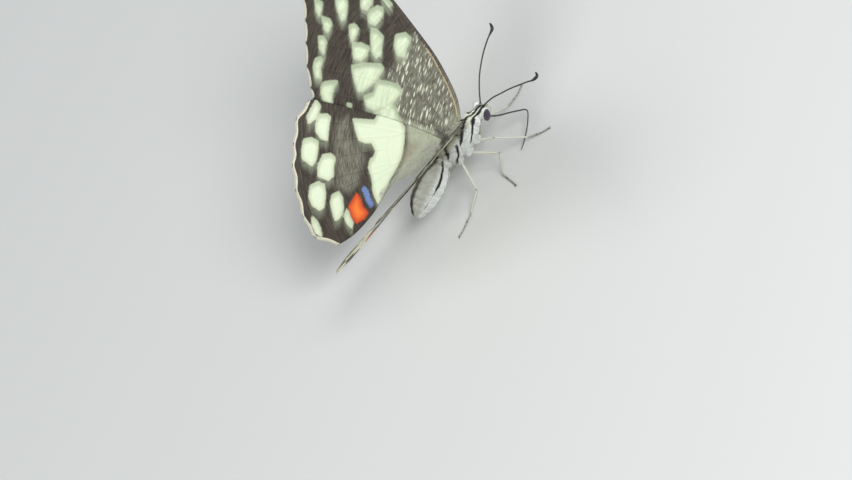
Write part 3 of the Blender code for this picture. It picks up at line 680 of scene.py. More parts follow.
# The wings' colours, each from its darker to its lighter shade
WING_COLOURS = {
    "ground": ((0.024, 0.018, 0.013), (0.106, 0.090, 0.066)),
    "ground_under": ((0.060, 0.042, 0.028), (0.110, 0.080, 0.054)),
    "powder": ((0.125, 0.120, 0.085), (0.300, 0.305, 0.235)),
    "pale": ((0.335, 0.350, 0.255), (0.485, 0.520, 0.385)),
    # painted shade at the forewing's root
    "root_shade": ((0.035, 0.030, 0.025), (0.120, 0.110, 0.090)),
    "dash": ((0.58, 0.60, 0.47), (0.80, 0.83, 0.66)),
    "spot_under": ((0.74, 0.71, 0.50), (0.90, 0.88, 0.68)),
    "orange": ((0.55, 0.060, 0.015), (0.88, 0.20, 0.030)),
    "blue": ((0.09, 0.14, 0.32), (0.20, 0.28, 0.52)),
    "gold": ((0.30, 0.22, 0.10), (0.58, 0.47, 0.26)),
    "fringe": ((0.58, 0.55, 0.40), (0.82, 0.80, 0.64)),
    # These two go from the forewing to the hindwing
    "spot": ((0.70, 0.81, 0.58), (0.68, 0.755, 0.565)),
    "spot_edge": ((0.44, 0.49, 0.34), (0.54, 0.59, 0.41)),
}
BROWN_CLOUD = (0.21, 0.155, 0.105)
SPOT_TRAIL = (0.36, 0.41, 0.29)
SPOT_BANDS = (0.36, 0.40, 0.27)
SPOT_REAR = (0.30, 0.36, 0.24)
SPOT_GRAIN = (0.40, 0.44, 0.30)
VEIN_DARK = (0.045, 0.036, 0.028)
DASH_JITTER = 0.85
# Two fields of pale dashes: shift, closeness across and along, size
DASH_FIELDS = [(0.0, 2.1, 0.40, 0.40), (0.47, 2.7, 0.60, 0.38)]


def wing_paint():
    """Scaled wing: dark ground, pale spots with powdery edges, dusting, speckled base, painted shade at the
    root, veins.
    """
    paint = Paint("wing_scales")
    mix, ramp, times, plus, value = paint.mix, paint.ramp, paint.times, paint.plus, paint.value
    under = value("under")
    tone = value("tone")
    pale = value("pale")
    grain = paint.cells(paint.place("place", (6.5, 10.0, 1.0)), "Color")
    soft = paint.noise(paint.place(), 1.3, 4.0)
    fine = paint.noise(paint.place(), 7.0, 2.0)
    streaks = paint.noise(paint.place("rows", (5.2, 0.5, 1.0)), rough=0.6)
    bands = paint.noise(paint.place("rows", (1.5, 0.3, 1.0)), detail=2.0, rough=0.5)
    weave = paint.noise(paint.place("dash_place", (3.6, 0.55, 1.0)), rough=0.6)

    def tint(share, name):
        """The named colour between its two shades."""
        return mix(share, *WING_COLOURS[name])

    def dashes(offset, across, along, size):
        """A jittered field of thin dashes and how bright each one is."""
        moved = paint.place("dash_place", (across, along, 1.0), (offset, offset * 1.7, 0.0))
        gap = plus(paint.cells(moved, "Distance", DASH_JITTER), paint.shifted(fine, 0.26))
        light = paint.cells(moved, "Color", DASH_JITTER)
        return times(ramp(gap, size, size * 0.45), ramp(light, 0.2, 0.7, 0.25, 1.0))

    ground = mix(under, tint(ramp(streaks, 0.40, 0.78), "ground"), tint(streaks, "ground_under"))
    dust = times(value("dust"), ramp(streaks, 0.28, 0.68, 0.30, 1.15), True)
    dust = times(dust, ramp(grain, 0.1, 0.9, 0.75, 1.1), True)
    colour = mix(dust, ground, tint(ramp(weave, 0.30, 0.70), "powder"))
    colour = mix(times(pale, ramp(streaks, 0.2, 0.75, 0.70, 1.08), True), colour, tint(soft, "pale"))
    colour = mix(times(value("brown"), ramp(soft, 0.3, 0.7, 0.2, 0.9), True), colour, BROWN_CLOUD)
    # Painted shade: a dark patch at the forewing's root, on both faces
    colour = mix(value("root_shade"), colour, tint(streaks, "root_shade"))
    speck = paint.math("MAXIMUM", *(dashes(*field) for field in DASH_FIELDS))
    colour = mix(times(speck, value("speckle"), True), colour, tint(grain, "dash"))
    colour = mix(times(value("trail"), ramp(streaks, 0.25, 0.75, 0.75, 1.1), True), colour, SPOT_TRAIL)

    # Pale spots, whose edges are uneven
    wobble = plus(paint.shifted(grain, 0.20), paint.shifted(fine, 0.34))
    cream = plus(value("cream"), wobble)
    cream_share = ramp(cream, -0.06, 0.14)
    banded = times(ramp(bands, 0.30, 0.72, 0.55, 0.0), paint.math("SUBTRACT", 1.0, tone))
    inner = mix(banded, tint(tone, "spot"), SPOT_BANDS)
    spot = mix(ramp(cream, 0.05, 0.8), tint(tone, "spot_edge"), inner)
    spot = mix(times(value("rear"), 0.75), spot, SPOT_REAR)
    spot = mix(under, spot, tint(soft, "spot_under"))
    spot = mix(ramp(grain, 0.0, 1.0, 0.0, 0.14), spot, SPOT_GRAIN)
    colour = mix(cream_share, colour, spot)

    # Veins, dark on dark ground and hardly seen where the wing is pale
    vein = times(ramp(value("vein"), 0.15, 0.03, 0.0, 0.60), ramp(cream_share, 0.0, 1.0, 1.0, 0.10))
    vein = times(vein, ramp(pale, 0.0, 0.7, 1.0, 0.30))
    vein = times(vein, ramp(dust, 0.1, 0.7, 1.0, 0.45))
    colour = mix(vein, colour, VEIN_DARK)

    # The eyespots, the forewing's gold line and the outer margin's pale line
    orange = plus(value("orange"), wobble)
    colour = mix(ramp(orange, -0.10, 0.14), colour, tint(ramp(orange, 0.2, 1.3), "orange"))
    colour = mix(ramp(plus(value("blue"), wobble), -0.15, 0.22), colour, tint(grain, "blue"))
    colour = mix(ramp(plus(value("gold"), paint.shifted(fine, 0.1)), 0.0, 0.10), colour, tint(fine, "gold"))
    fringe = plus(value("fringe"), paint.shifted(fine, 0.16))
    colour = mix(ramp(fringe, -0.04, 0.10), colour, tint(grain, "fringe"))
    paint.finish("Base Color", colour)
    paint.bump(plus(times(grain, 0.5), times(fine, 0.7)), 0.00004, 0.5)
    paint.finish("Roughness", ramp(cream_share, 0.0, 1.0, 0.55, 0.72))
    paint.finish("Specular IOR Level", 0.3)
    return paint.material


# The body's colours; a pair goes from its darker to its lighter shade
BODY_PALE = ((0.38, 0.38, 0.29), (0.90, 0.93, 0.90))
BODY_DULL = (0.26, 0.25, 0.19)
BODY_CREAM = (0.90, 0.92, 0.78)
BODY_OLIVE = ((0.42, 0.41, 0.33), (0.60, 0.59, 0.49))
# The darkest colour serves the abdomen's dark back stripe and the thorax's dark saddle, which is partly
# painted shade from the wing roots
BODY_DARK_AND_SHADE = ((0.05, 0.045, 0.035), (0.13, 0.12, 0.09))
BODY_INK = (0.017, 0.015, 0.014)
HAIR_LIGHT = (0.88, 0.88, 0.80)
HAIR_DARK = (0.10, 0.09, 0.07)


def down_paint(name, roughness=0.75, hair=False):
    """Skin or coat with the body's markings; hair tufts vary one by one."""
    paint = Paint(name, roughness)
    mix, ramp = paint.mix, paint.ramp
    fine = paint.noise(paint.place("place", (1.4, 5.0, 5.0)), 1.6)
    ink = paint.plus(paint.value("ink"), paint.shifted(fine, 0.16))
    olive = paint.value("olive")
    pale = mix(paint.value("white"), *BODY_PALE)
    pale = mix(ramp(fine, 0.35, 0.8, 0.0, 0.18), pale, BODY_DULL)
    pale = mix(paint.value("cream"), pale, BODY_CREAM)
    colour = mix(ramp(olive, 0.0, 0.5), pale, mix(fine, *BODY_OLIVE))
    # Dark back: the abdomen's own stripe, and a saddle between the wing roots that is partly painted shade
    colour = mix(ramp(olive, 0.5, 1.0), colour, mix(fine, *BODY_DARK_AND_SHADE))
    colour = mix(ramp(ink, -0.03, 0.06), colour, BODY_INK)
    if hair:
        tuft = paint.value("tuft")
        light = paint.times(ramp(tuft, 0.6, 1.0, 0.0, 0.30), ramp(ink, -0.03, 0.06, 1.0, 0.15))
        colour = mix(light, colour, HAIR_LIGHT)
        colour = mix(ramp(tuft, 0.35, 0.0, 0.0, 0.16), colour, HAIR_DARK)
    else:
        paint.bump(fine, 0.00006, 0.6)
    paint.finish("Base Color", colour)
    return paint.material


# Horn and plain scales: darker and lighter shade, roughness, closeness of the grain
HORNS = {
    "fringe_scales": ((0.03, 0.024, 0.02), (0.72, 0.70, 0.54), 0.7, 3.0),
    "feeler_horn": ((0.018, 0.013, 0.012), (0.30, 0.26, 0.19), 0.45, 5.0),
    "tongue_horn": ((0.03, 0.028, 0.03), (0.22, 0.20, 0.17), 0.4, 5.0),
    "leg_scales": ((0.06, 0.052, 0.040), (0.50, 0.50, 0.43), 0.6, 6.0),
}
EYE_DARK = ((0.010, 0.007, 0.013), (0.045, 0.030, 0.055))
EYE_RIM = (0.62, 0.62, 0.60)
FLOOR_COLOUR = (0.62, 0.63, 0.62)


def horn_paint(name):
    """Horn with an attribute that lightens it, and fine grain."""
    dark, pale, roughness, closeness = HORNS[name]
    paint = Paint(name, roughness)
    grain = paint.noise(paint.place(), closeness)
    light = paint.plus(paint.value("light"), paint.shifted(grain, 0.5))
    paint.finish("Base Color", paint.mix(paint.ramp(light, 0.2, 0.8), dark, pale))
    paint.bump(grain, 0.00003, 0.5)
    return paint.material


def eye_paint():
    """Glossy dark eye with a pale rim."""
    paint = Paint("compound_eye", 0.2)
    cloud = paint.mix(paint.noise(paint.place(), 0.8, 2.0), *EYE_DARK)
    paint.finish("Base Color", paint.mix(paint.value("rim"), cloud, EYE_RIM))
    paint.finish("Coat Weight", 0.5)
    paint.finish("Coat Roughness", 0.12)
    return paint.material


# Wings

def margin(ends, depth, steps=10):
    """The margin through the vein ends: smooth, and drawn in a little between each two veins."""
    line = curve(ends, steps)
    along = unit(np.gradient(line, axis=0))
    inward = np.stack([along[:, 1], -along[:, 0]], axis=1)
    inward *= np.sign(((line.mean(axis=0) * 0.4 - line) * inward).sum(axis=1))[:, None]
    wave = np.sin(np.pi * np.arange(len(line)) / steps) ** 2
    return line + inward * depth * wave[:, None]


def spread(points, least):
    """Drops each point that lies closer than least to an earlier one."""
    kept, seen = [], {}
    for n, (x, y) in enumerate(points):
        cell = (int(x // least), int(y // least))
        near = [
            m
            for dx in (-1, 0, 1)
            for dy in (-1, 0, 1)
            for m in seen.get((cell[0] + dx, cell[1] + dy), ())
        ]
        if all(math.hypot(x - points[m][0], y - points[m][1]) >= least for m in near):
            kept.append(n)
            seen.setdefault(cell, []).append(n)
    return points[kept]


def wing_sheet(outline, lines):
    """Points and triangles over a wing, closer along its veins."""
    loose = []
    for line in lines:
        along = unit(np.gradient(line, axis=0))
        beside = np.stack([-along[:, 1], along[:, 0]], axis=1)
        loose += [line + beside * off for off in VEIN_ROWS]
    low, high = outline.min(axis=0), outline.max(axis=0)
    rows = np.arange(low[1], high[1], WING_STEP * 0.87)
    for k, y in enumerate(rows):
        x = np.arange(low[0] + (k % 2) * WING_STEP / 2, high[0], WING_STEP)
        loose.append(np.stack([x, np.full(len(x), y)], axis=1))
    loose = np.vstack(loose)
    loose = loose[polygon_depth(loose, outline) > 0.16]
    loose = spread(loose, 0.135)
    grid = np.vstack([outline, loose])
    edges = [(k, (k + 1) % len(outline)) for k in range(len(outline))]
    made = delaunay_2d_cdt([Vector(p) for p in grid], edges, [list(range(len(outline)))], 1, 1e-6, False)
    places = np.array(made[0])
    # Triangles that bridge a hollow of the margin lie outside it
    middles = np.array([places[list(f)].mean(axis=0) for f in made[2]])
    within = polygon_depth(middles, outline) > 0
    return places, [tuple(f) for f, kept in zip(made[2], within) if kept]


class Held:
    """How one side's wings are held, and where a place of the wing lies then."""

    def __init__(self, side, hinge, dihedral, sweep, lift):
        self.side = side
        self.hinge = np.array([hinge[0], side * hinge[1], BODY_HEIGHT + hinge[2]])
        self.turn = np.array(Matrix.Rotation(side * dihedral, 3, "X")).T
        self.sweep = sweep
        self.lift = lift

    def bend(self, places):
        """How far the wing's surface bends up at each place."""
        back = np.maximum(0, (-places[:, 1] - REAR_LIFT_START) / REAR_LIFT_LENGTH)
        span = np.clip(places[:, 0] / REAR_LIFT_SPAN, 0, 1)
        return self.lift * back**1.4 * span * span * (3 - 2 * span)

    def points(self, places, heights):
        """Wing places and heights over the bent wing as points of the body's frame."""
        heights = heights + self.bend(places)
        return np.stack([places[:, 1], self.side * places[:, 0], heights], axis=1) @ self.turn + self.hinge

    def swept(self, places, fore):
        """The places after the forewing's turn back."""
        if not fore:
            return places
        c, s = math.cos(self.sweep), math.sin(self.sweep)
        return places @ np.array([[c, -s], [s, c]])


class Wing:
    """One wing's flat shape, its triangles, and its markings, before it is turned into place."""

    def __init__(self, front, outer, inner, veins, scallop, fore):
        self.fore = fore
        self.lines = {name: even(curve(line, 8), WING_STEP * 0.9) for name, line in veins.items()}
        self.outer = outer
        self.termen = margin(outer, scallop)
        self.inner = even(curve(inner, 6), WING_STEP)
        self.front = even(curve(front, 6), WING_STEP)
        self.outline = np.vstack([self.front if fore else self.front[:-1], self.termen, self.inner[1:]])
        self.places, self.faces = wing_sheet(self.outline, list(self.lines.values()))
        self.measure()

    def measure(self):
        """Distances to root, veins and rim, and the relief that follows from them."""
        p = self.places
        self.from_root = np.linalg.norm(p, axis=1)
        self.vein_gap = np.min([line_distance(p, line)[0] for line in self.lines.values()], axis=0)
        rim, _ = line_distance(p, np.vstack([self.outline, self.outline[:1]]))
        share = np.clip(self.from_root / (FOREWING_REACH if self.fore else HINDWING_REACH), 0, 1)
        width = VEIN_ROOT_HALF_WIDTH + (VEIN_TIP_HALF_WIDTH - VEIN_ROOT_HALF_WIDTH) * share
        self.rise = VEIN_RISE * (width / VEIN_ROOT_HALF_WIDTH) * np.clip(rim / 0.4, 0, 1)
        self.rise *= np.maximum(0, 1 - (self.vein_gap / width) ** 2)
        self.pleat = PLEAT * (1 - np.exp(-((self.vein_gap / 0.9) ** 2))) * np.clip(rim / 1.0, 0, 1)
        self.half = RIM_HALF + (MEMBRANE_HALF - RIM_HALF) * np.clip(rim / 0.5, 0, 1)
        self.drop = REAR_EDGE_DROP * fade(line_distance(p, self.inner)[0], REAR_EDGE_WIDTH, 0.0) * self.fore

    def fringe_depth(self, size, least):
        """The pale line along the outer margin, narrower where a vein meets it."""
        rim, share = line_distance(self.places, self.termen)
        wave = np.abs(np.sin(np.pi * share * (len(self.outer) - 1)))
        return size * (least + (1 - least) * np.minimum(1, 1.4 * wave**0.7)) - 0.08 - rim

    def marks(self, under):
        """The values that the wing's paint reads, for the upper or the lower face."""
        zero = np.zeros(len(self.places))
        found = {key: zero + NOWHERE for key in ("orange", "blue", "gold")}
        found.update({key: zero for key in ("pale", "speckle", "brown", "root_shade")})
        found.update({"under": zero + under, "tone": zero + (not self.fore), "vein": self.vein_gap})
        spots = list((FOREWING_SPOTS if self.fore else HINDWING_SPOTS).values())
        ahead = [spots_depth(self.places + TRAIL_HEADING * step, spots) for step in TRAIL_STEPS]
        reach = (1.0 if self.fore else 0.6) * (not under)
        trails = [fade(depth, -0.15, 0.25) * (1 - step / 2.1) for depth, step in zip(ahead, TRAIL_STEPS)]
        found["trail"] = np.max(trails, axis=0) * reach
        found["rear"] = fade(ahead[1], 0.55, -0.1) * reach
        found["cream"] = spots_depth(self.places, spots, UNDER_SPOT_GROWTH * under)
        add = self.add_fore_marks if self.fore else self.add_hind_marks
        add(found, self.places + (ROOT_TO_HINGE, 0), under)
        return found

    def add_fore_marks(self, found, p, under):
        """The speckled base, the pale rear edge and root, the gold line, and the underside's rays."""
        out, forward = p.T
        base = fade(out - 0.12 * forward, FOREWING_BASE_END + 1.0, FOREWING_BASE_END - 1.5)
        base *= fade(forward + 0.58 * out, -0.5, 0.7)
        before = fade(forward - np.interp(out, *zip(*SPECKLE_FRONT)), 0.1, -0.1)
        rear = fade(line_distance(self.places, self.inner)[0], 1.3, 0.2) * fade(out, 11.0, 8.5)
        root = fade(out, 4.6, 1.6)
        gap, share = line_distance(self.places, self.lines["subcosta"])
        dusted = base * np.maximum(before, 0.9 * fade(out, 14.0, 5.0)) * 0.80
        found["speckle"] = base * before * fade(out, 1.4, 4.0) * (not under)
        found["dust"] = np.max([dusted, 0.8 * rear, 0.9 * root], axis=0)
        found["pale"] = np.maximum(0.72 * rear, 0.35 * root)
        # Painted shade at the root, where the wing meets the body
        found["root_shade"] = 0.8 * oval(p, FOREWING_ROOT_SHADE, 1.25, 0.5)
        found["gold"] = np.where((share > 0.08) & (share < 0.60), 0.15 - gap, NOWHERE)
        found["fringe"] = self.fringe_depth(0.30, 0.2)
        if under:
            for reach, height in UNDER_RAYS:
                gap, _ = line_distance(self.places, np.array([(3.0, 0.18 * height + 0.6), (reach, height)]))
                found["cream"] = np.maximum(found["cream"], UNDER_RAY_HALF_WIDTH - gap)

    def add_hind_marks(self, found, p, under):
        """The eyespot, the dusted middle, the pale base, and the underside's eyespots."""
        found["orange"] = spots_depth(self.places, [EYESPOT_ORANGE])
        found["blue"] = spots_depth(self.places, [EYESPOT_BLUE])
        edge, share = line_distance(self.places, self.front)
        line = np.where(share < FRONT_LINE_END, FRONT_LINE_WIDTH - edge, NOWHERE)
        eyespot = np.maximum(found["orange"], found["blue"])
        found["cream"] = np.minimum(np.maximum(found["cream"], line), 0.05 - eyespot)
        basal = fade(polygon_depth(p, HINDWING_BASE), -0.5, 0.8)
        found["pale"] = 0.85 * basal * fade(self.from_root, 0.6, 3.2)
        found["dust"] = np.maximum(0.80 * fade(polygon_depth(p, HINDWING_DUST), -0.8, 0.9), basal * 0.7)
        found["brown"] = 0.8 * oval(p, HINDWING_CLOUD, 1.3, 0.3)
        found["fringe"] = self.fringe_depth(0.42, 0.85)
        if under:
            found["pale"] = np.maximum(found["pale"], 0.85 * fade(self.from_root, 9.0, 7.6))
            for n, centre in enumerate(UNDER_EYESPOTS):
                gap = np.linalg.norm(p - centre, axis=1)
                ochre = np.array(centre) * (1.03 if n % 2 else 1.0)
                found["cream"] = np.minimum(found["cream"], gap - 1.75)
                found["blue"] = np.maximum(found["blue"], 0.22 - np.abs(gap - 0.85))
                found["orange"] = np.maximum(found["orange"], 0.75 - np.linalg.norm(p - ochre, axis=1))
            found["cream"] = np.maximum(found["cream"], found["pale"] * 2.2 - 0.9)

    def build(self, name, held, layer, colour):
        """The wing in place, both faces alike, with its paint's values on each point."""
        swept = held.swept(self.places, self.fore)
        middle = layer + self.pleat - self.drop
        upper = held.points(swept, middle + self.half + self.rise)
        lower = held.points(swept, middle - self.half - self.rise)
        count = len(self.places)
        faces = [f if held.side > 0 else f[::-1] for f in self.faces]
        rim_edges = {(a, b) for f in faces for a, b in zip(f, f[1:] + f[:1])}
        closed = faces + [tuple(count + n for n in reversed(f)) for f in faces]
        closed += [(b, a, count + a, count + b) for a, b in rim_edges if (b, a) not in rim_edges]
        piece = new_piece(name + "_scales", np.vstack([upper, lower]), [f[::-1] for f in closed], colour)
        top, bottom = self.marks(False), self.marks(True)
        for key in top:
            attribute(piece, key, np.concatenate([top[key], bottom[key]]))
        off = self.places - ROW_CENTRE
        rows = np.stack([np.linalg.norm(off, axis=1), np.arctan2(off[:, 1], off[:, 0]) * ROW_REACH], axis=1)
        outward, forward = DASH_HEADING
        dashes = self.places @ np.array([(forward, outward), (-outward, forward)])
        for key, plane in (("place", self.places), ("rows", rows), ("dash_place", dashes)):
            flat = np.column_stack([plane, np.zeros(count)])
            vector_attribute(piece, key, np.vstack([flat, flat + FACE_SHIFT]))
        low, high = self.places.min(axis=0), self.places.max(axis=0)
        uv = (self.places - low) / (high - low).max() * (0.49, 0.98) + (0.005, 0.01)
        bake_map(piece, np.vstack([uv, uv + (0.5, 0)]))
        finish_piece(piece, "wing", name)


# Body

def axis_height(x):
    """Height of the body's middle line over the floor at each place along it."""
    stations = [(x0, z0) for x0, z0 in reversed(ABDOMEN_AXIS)]
    stations += [(s[0], s[1]) for s in reversed(THORAX)][1:-1] + [(5.4, 0.25), (6.7, 0.18)]
    xs, zs = zip(*sorted(stations))
    return BODY_HEIGHT + np.interp(x, xs, zs)


def body_radius(x):
    """Half width of the body at each place along it."""
    stations = list(zip([a[0] for a in ABDOMEN_AXIS], ABDOMEN_HALF_WIDTH))
    stations += [(s[0], s[2]) for s in THORAX[1:-1]] + [(5.4, 1.1), (6.7, 1.4)]
    xs, rs = zip(*sorted(stations))
    return np.interp(x, xs, rs)


def degrees_round(points):
    """The angle of each point round the body's middle line, from the back's middle."""
    return np.degrees(np.arctan2(np.abs(points[:, 1]), points[:, 2] - axis_height(points[:, 0])))


def body_marks(points):
    """How deep each point lies in a black line, and how white, olive or cream its scales are; the dark back
    between the wing roots is partly the thorax's own dark hair and partly painted shade.
    """
    points = straightened(points)
    x = points[:, 0]
    around = degrees_round(points)
    radius = body_radius(x)
    scale = np.radians(1) * radius
    ink = np.full(len(points), NOWHERE)
    for line in BODY_LINES:
        line = np.array(line, float)
        for a, b in zip(line, line[1:]):
            span = np.stack([np.full(len(x), b[0] - a[0]), (b[1] - a[1]) * scale], axis=1)
            start = np.stack([x - a[0], (around - a[1]) * scale], axis=1)
            t = np.clip((span * start).sum(axis=1) / np.maximum((span * span).sum(axis=1), 1e-9), 0, 1)
            gap = np.linalg.norm(start - span * t[:, None], axis=1)
            ink = np.maximum(ink, a[2] + (b[2] - a[2]) * t - gap)
    back = fade(around, 58, 34) * fade(x, -5.0, -3.8) * fade(x, 4.4, 3.2)
    # A dark saddle between the wing roots: partly the thorax's own dark hair, partly painted shade
    saddle_and_shade = fade(np.hypot((x + 0.9) / 1.25, around / 34), 1.25, 0.55)
    stripe = fade(around * scale, 0.85, 0.30) * fade(x, -4.2, -5.2)
    white = fade(around, 45, 85) * 0.55 + 0.45
    white = np.where(x > -4.6, np.maximum(white, 0.92), white)
    cream = fade(x, 3.0, 4.0) * fade(around, 62, 44)
    return {"ink": ink, "white": white, "olive": np.maximum(0.5 * (back + saddle_and_shade), stripe), "cream": cream}


def skin_shape():
    """Head, neck, thorax with its humps and ringed abdomen, as closed forms that overlap."""
    thorax = curve(THORAX, 4)
    path = np.stack([thorax[:, 0], 0 * thorax[:, 0], BODY_HEIGHT + thorax[:, 1]], axis=1)
    ends = np.vstack([path[0] + (0.1, 0, 0), path, path[-1] - (0.1, 0, 0)])
    parts = [tube(ends, *(np.pad(thorax[:, k] - COAT_DEPTH, 1) for k in (2, 3)), SKIN_SIDES)]
    columns = [(x, z, w, h) for (x, z), w, h in zip(ABDOMEN_AXIS, ABDOMEN_HALF_WIDTH, ABDOMEN_HALF_HEIGHT)]
    stations = even(curve(columns, 10), 0.13)
    phase = (ABDOMEN_SEGMENTS * np.arange(len(stations)) / (len(stations) - 1)) % 1.0
    step = STEP_RISE * ((1 - phase) ** 3 + phase**6 / 3)
    path = np.stack([stations[:, 0], 0 * stations[:, 0], BODY_HEIGHT + stations[:, 1]], axis=1)
    ends = np.vstack([path[0] + (1.6, 0, 0.15), path, path[-1] + (path[-1] - path[-4]) * 1.2])
    parts.append(tube(ends, *(np.pad(stations[:, k] - 0.08 - step, 1) for k in (2, 3)), SKIN_SIDES))
    parts += [ellipsoid(head_point(middle), half_size, HEAD_TURN) for middle, half_size in HEAD_FORMS]
    parts += [ellipsoid((x, y, BODY_HEIGHT + z), half_size) for (x, y, z), half_size in MIDDLE_FORMS]
    for side in (1, -1):
        for (x, y, z), half_size, angle in PAIRED_FORMS:
            lean = np.array(Matrix.Rotation(side * angle, 3, "X"))
            parts.append(ellipsoid((x, side * y, BODY_HEIGHT + z), half_size, lean))
    return joined(parts)


def body_skin(colour):
    """The forms fused into one skin."""
    vertices, faces = skin_shape()
    rough = new_piece("skin_rough", vertices / MM, faces, colour, shift=(0, 0, 0))
    remesh = rough.modifiers.new("fuse", "REMESH")
    remesh.mode = "VOXEL"
    remesh.voxel_size = SKIN_VOXEL
    soften = rough.modifiers.new("soften", "SMOOTH")
    soften.factor = 0.5
    soften.iterations = 5
    fused = bpy.data.meshes.new_from_object(rough.evaluated_get(bpy.context.evaluated_depsgraph_get()))
    bpy.data.objects.remove(rough)
    points = np.empty(len(fused.vertices) * 3)
    fused.vertices.foreach_get("co", points)
    points = points.reshape(-1, 3)
    faces = [tuple(p.vertices) for p in fused.polygons]
    skin = new_piece("body_skin", points, faces, colour)
    add_values(skin, body_marks(points), points)
    bake_map(skin, unwrap(points))
    finish_piece(skin, "dark_down", "head", "thorax", "abdomen")
    return points, faces


def unwrap(points):
    """The skin's own unwrap: along the body and round it."""
    around = np.arctan2(points[:, 1], points[:, 2] - axis_height(points[:, 0]))
    along = (points[:, 0] - SKIN_REAR) / SKIN_LENGTH
    return np.stack([0.02 + 0.96 * along, 0.5 + 0.47 * around / np.pi], axis=1)


def surface_samples(points, faces, per_mm2, keep):
    """Random places on a surface with its outward directions, kept by a rule."""
    triangles = np.array([(f[0], f[k], f[k + 1]) for f in faces for k in range(1, len(f) - 1)])
    a, b, c = (points[triangles[:, k]] for k in range(3))
    cross = np.cross(b - a, c - a)
    area = np.linalg.norm(cross, axis=1) / 2
    count = int(area.sum() * (per_mm2 * COAT_SHARE))
    chosen = RANDOM.choice(len(area), count, p=area / area.sum())
    u, v = RANDOM.random(count), RANDOM.random(count)
    over = u + v > 1
    u[over], v[over] = 1 - u[over], 1 - v[over]
    place = a[chosen] + (b - a)[chosen] * u[:, None] + (c - a)[chosen] * v[:, None]
    normal = cross[chosen] / np.maximum(2 * area[chosen, None], 1e-12)
    mask = keep(place)
    return place[mask], normal[mask]


def varied(count, least, span):
    """A random number for each blade."""
    return least + span * RANDOM.random(count)


def combed(normals, heading, lift, jitter):
    """Hair directions: the heading laid along the skin, raised by lift, each a little off."""
    heading = heading + RANDOM.normal(0, jitter, normals.shape)
    flat = heading - normals * (heading * normals).sum(axis=1, keepdims=True)
    flat /= np.maximum(np.linalg.norm(flat, axis=1, keepdims=True), 1e-6)
    lift = lift[:, None]
    return flat * np.cos(lift) + normals * np.sin(lift)


def add_blades(name, colour, slot, roots, shape, values, unwrapped=None):
    """A piece of small blades, with its paint's values, place and unwrap the same over each."""
    vertices, faces = blades(roots, *shape)
    piece = new_piece(name, vertices, faces, colour)
    spread_out = {}
    for key, value in values.items():
        spread_out[key] = np.repeat(np.broadcast_to(value, len(roots)), BLADE_POINTS)
    add_values(piece, spread_out, np.repeat(roots, BLADE_POINTS, axis=0))
    if unwrapped is not None:
        patches = np.tile(BLADE_PATCH, (len(roots), 1)) * BLADE_PATCH_SIZE
        bake_map(piece, np.repeat(unwrapped, BLADE_POINTS, axis=0) + patches)
    finish_piece(piece, slot)


def clear_of_eyes(place):
    """True where the skin isn't under an eye."""
    clear = np.ones(len(place), bool)
    local = (place - HEAD_CENTRE) @ HEAD_TURN
    for side in (1, -1):
        off = local - np.array(EYE_OFFSET) * (1, side, 1)
        clear &= np.linalg.norm(off / (np.array(EYE_HALF_SIZE) + 0.04), axis=1) > 1.0
    return clear


def add_coat(name, places, normals, heading, lift, lengths, colour):
    """Blades over the skin, with the markings and the unwrap of the skin under them."""
    _, width, jitter = COATS[name]
    widths = varied(len(places), *width)
    directions = combed(normals, heading, lift, jitter)
    shape = (normals, directions, lengths, widths, varied(len(places), 0.05, 0.05))
    values = body_marks(places)
    values["tuft"] = RANDOM.random(len(places))
    add_blades(name, colour, "dark_down", places, shape, values, unwrap(places))


def coats(points, faces, colour):
    """Hair of the thorax and head, and the close scales of the abdomen."""
    def sampled(name, keep):
        return surface_samples(points, faces, COATS[name][0], keep)

    places, normals = sampled("thorax_hair", lambda p: (p[:, 0] > THORAX_REAR) & (p[:, 0] < NECK))
    around = degrees_round(places)
    below = fade(around, 105, 150)
    collar = fade(places[:, 0], 2.6, 4.0)
    lengths = 0.52 + (0.42 * fade(around, 60, 20) + 0.35 * below) * (1 - collar)
    lengths *= varied(len(places), 0.7, 0.5)
    lift = 0.24 + 0.25 * below + varied(len(places), 0, 0.16)
    add_coat("thorax_hair", places, normals, (-1.0, 0.0, -0.12), lift, lengths, colour)

    places, normals = sampled("head_hair", lambda p: (p[:, 0] >= NECK) & clear_of_eyes(p))
    front = fade(places[:, 0], 7.6, 8.3)
    heading = np.stack([-1 + 2.2 * front, 0 * front, 0.2 - 0.2 * front], axis=1)
    lengths = (0.32 + 0.40 * front) * varied(len(places), 0.7, 0.5)
    lift = 0.26 + 0.40 * front + varied(len(places), 0, 0.16)
    add_coat("head_hair", places, normals, heading, lift, lengths, colour)

    places, normals = sampled("abdomen_scales", lambda p: p[:, 0] <= THORAX_REAR)
    longer = fade(places[:, 0], -8.0, THORAX_REAR)
    lengths = (0.36 + 0.3 * longer) * varied(len(places), 0.7, 0.5)
    lift = varied(len(places), 0.12, 0.12)
    add_coat("abdomen_scales", places, normals, (-1.0, 0.0, -0.35), lift, lengths, colour)


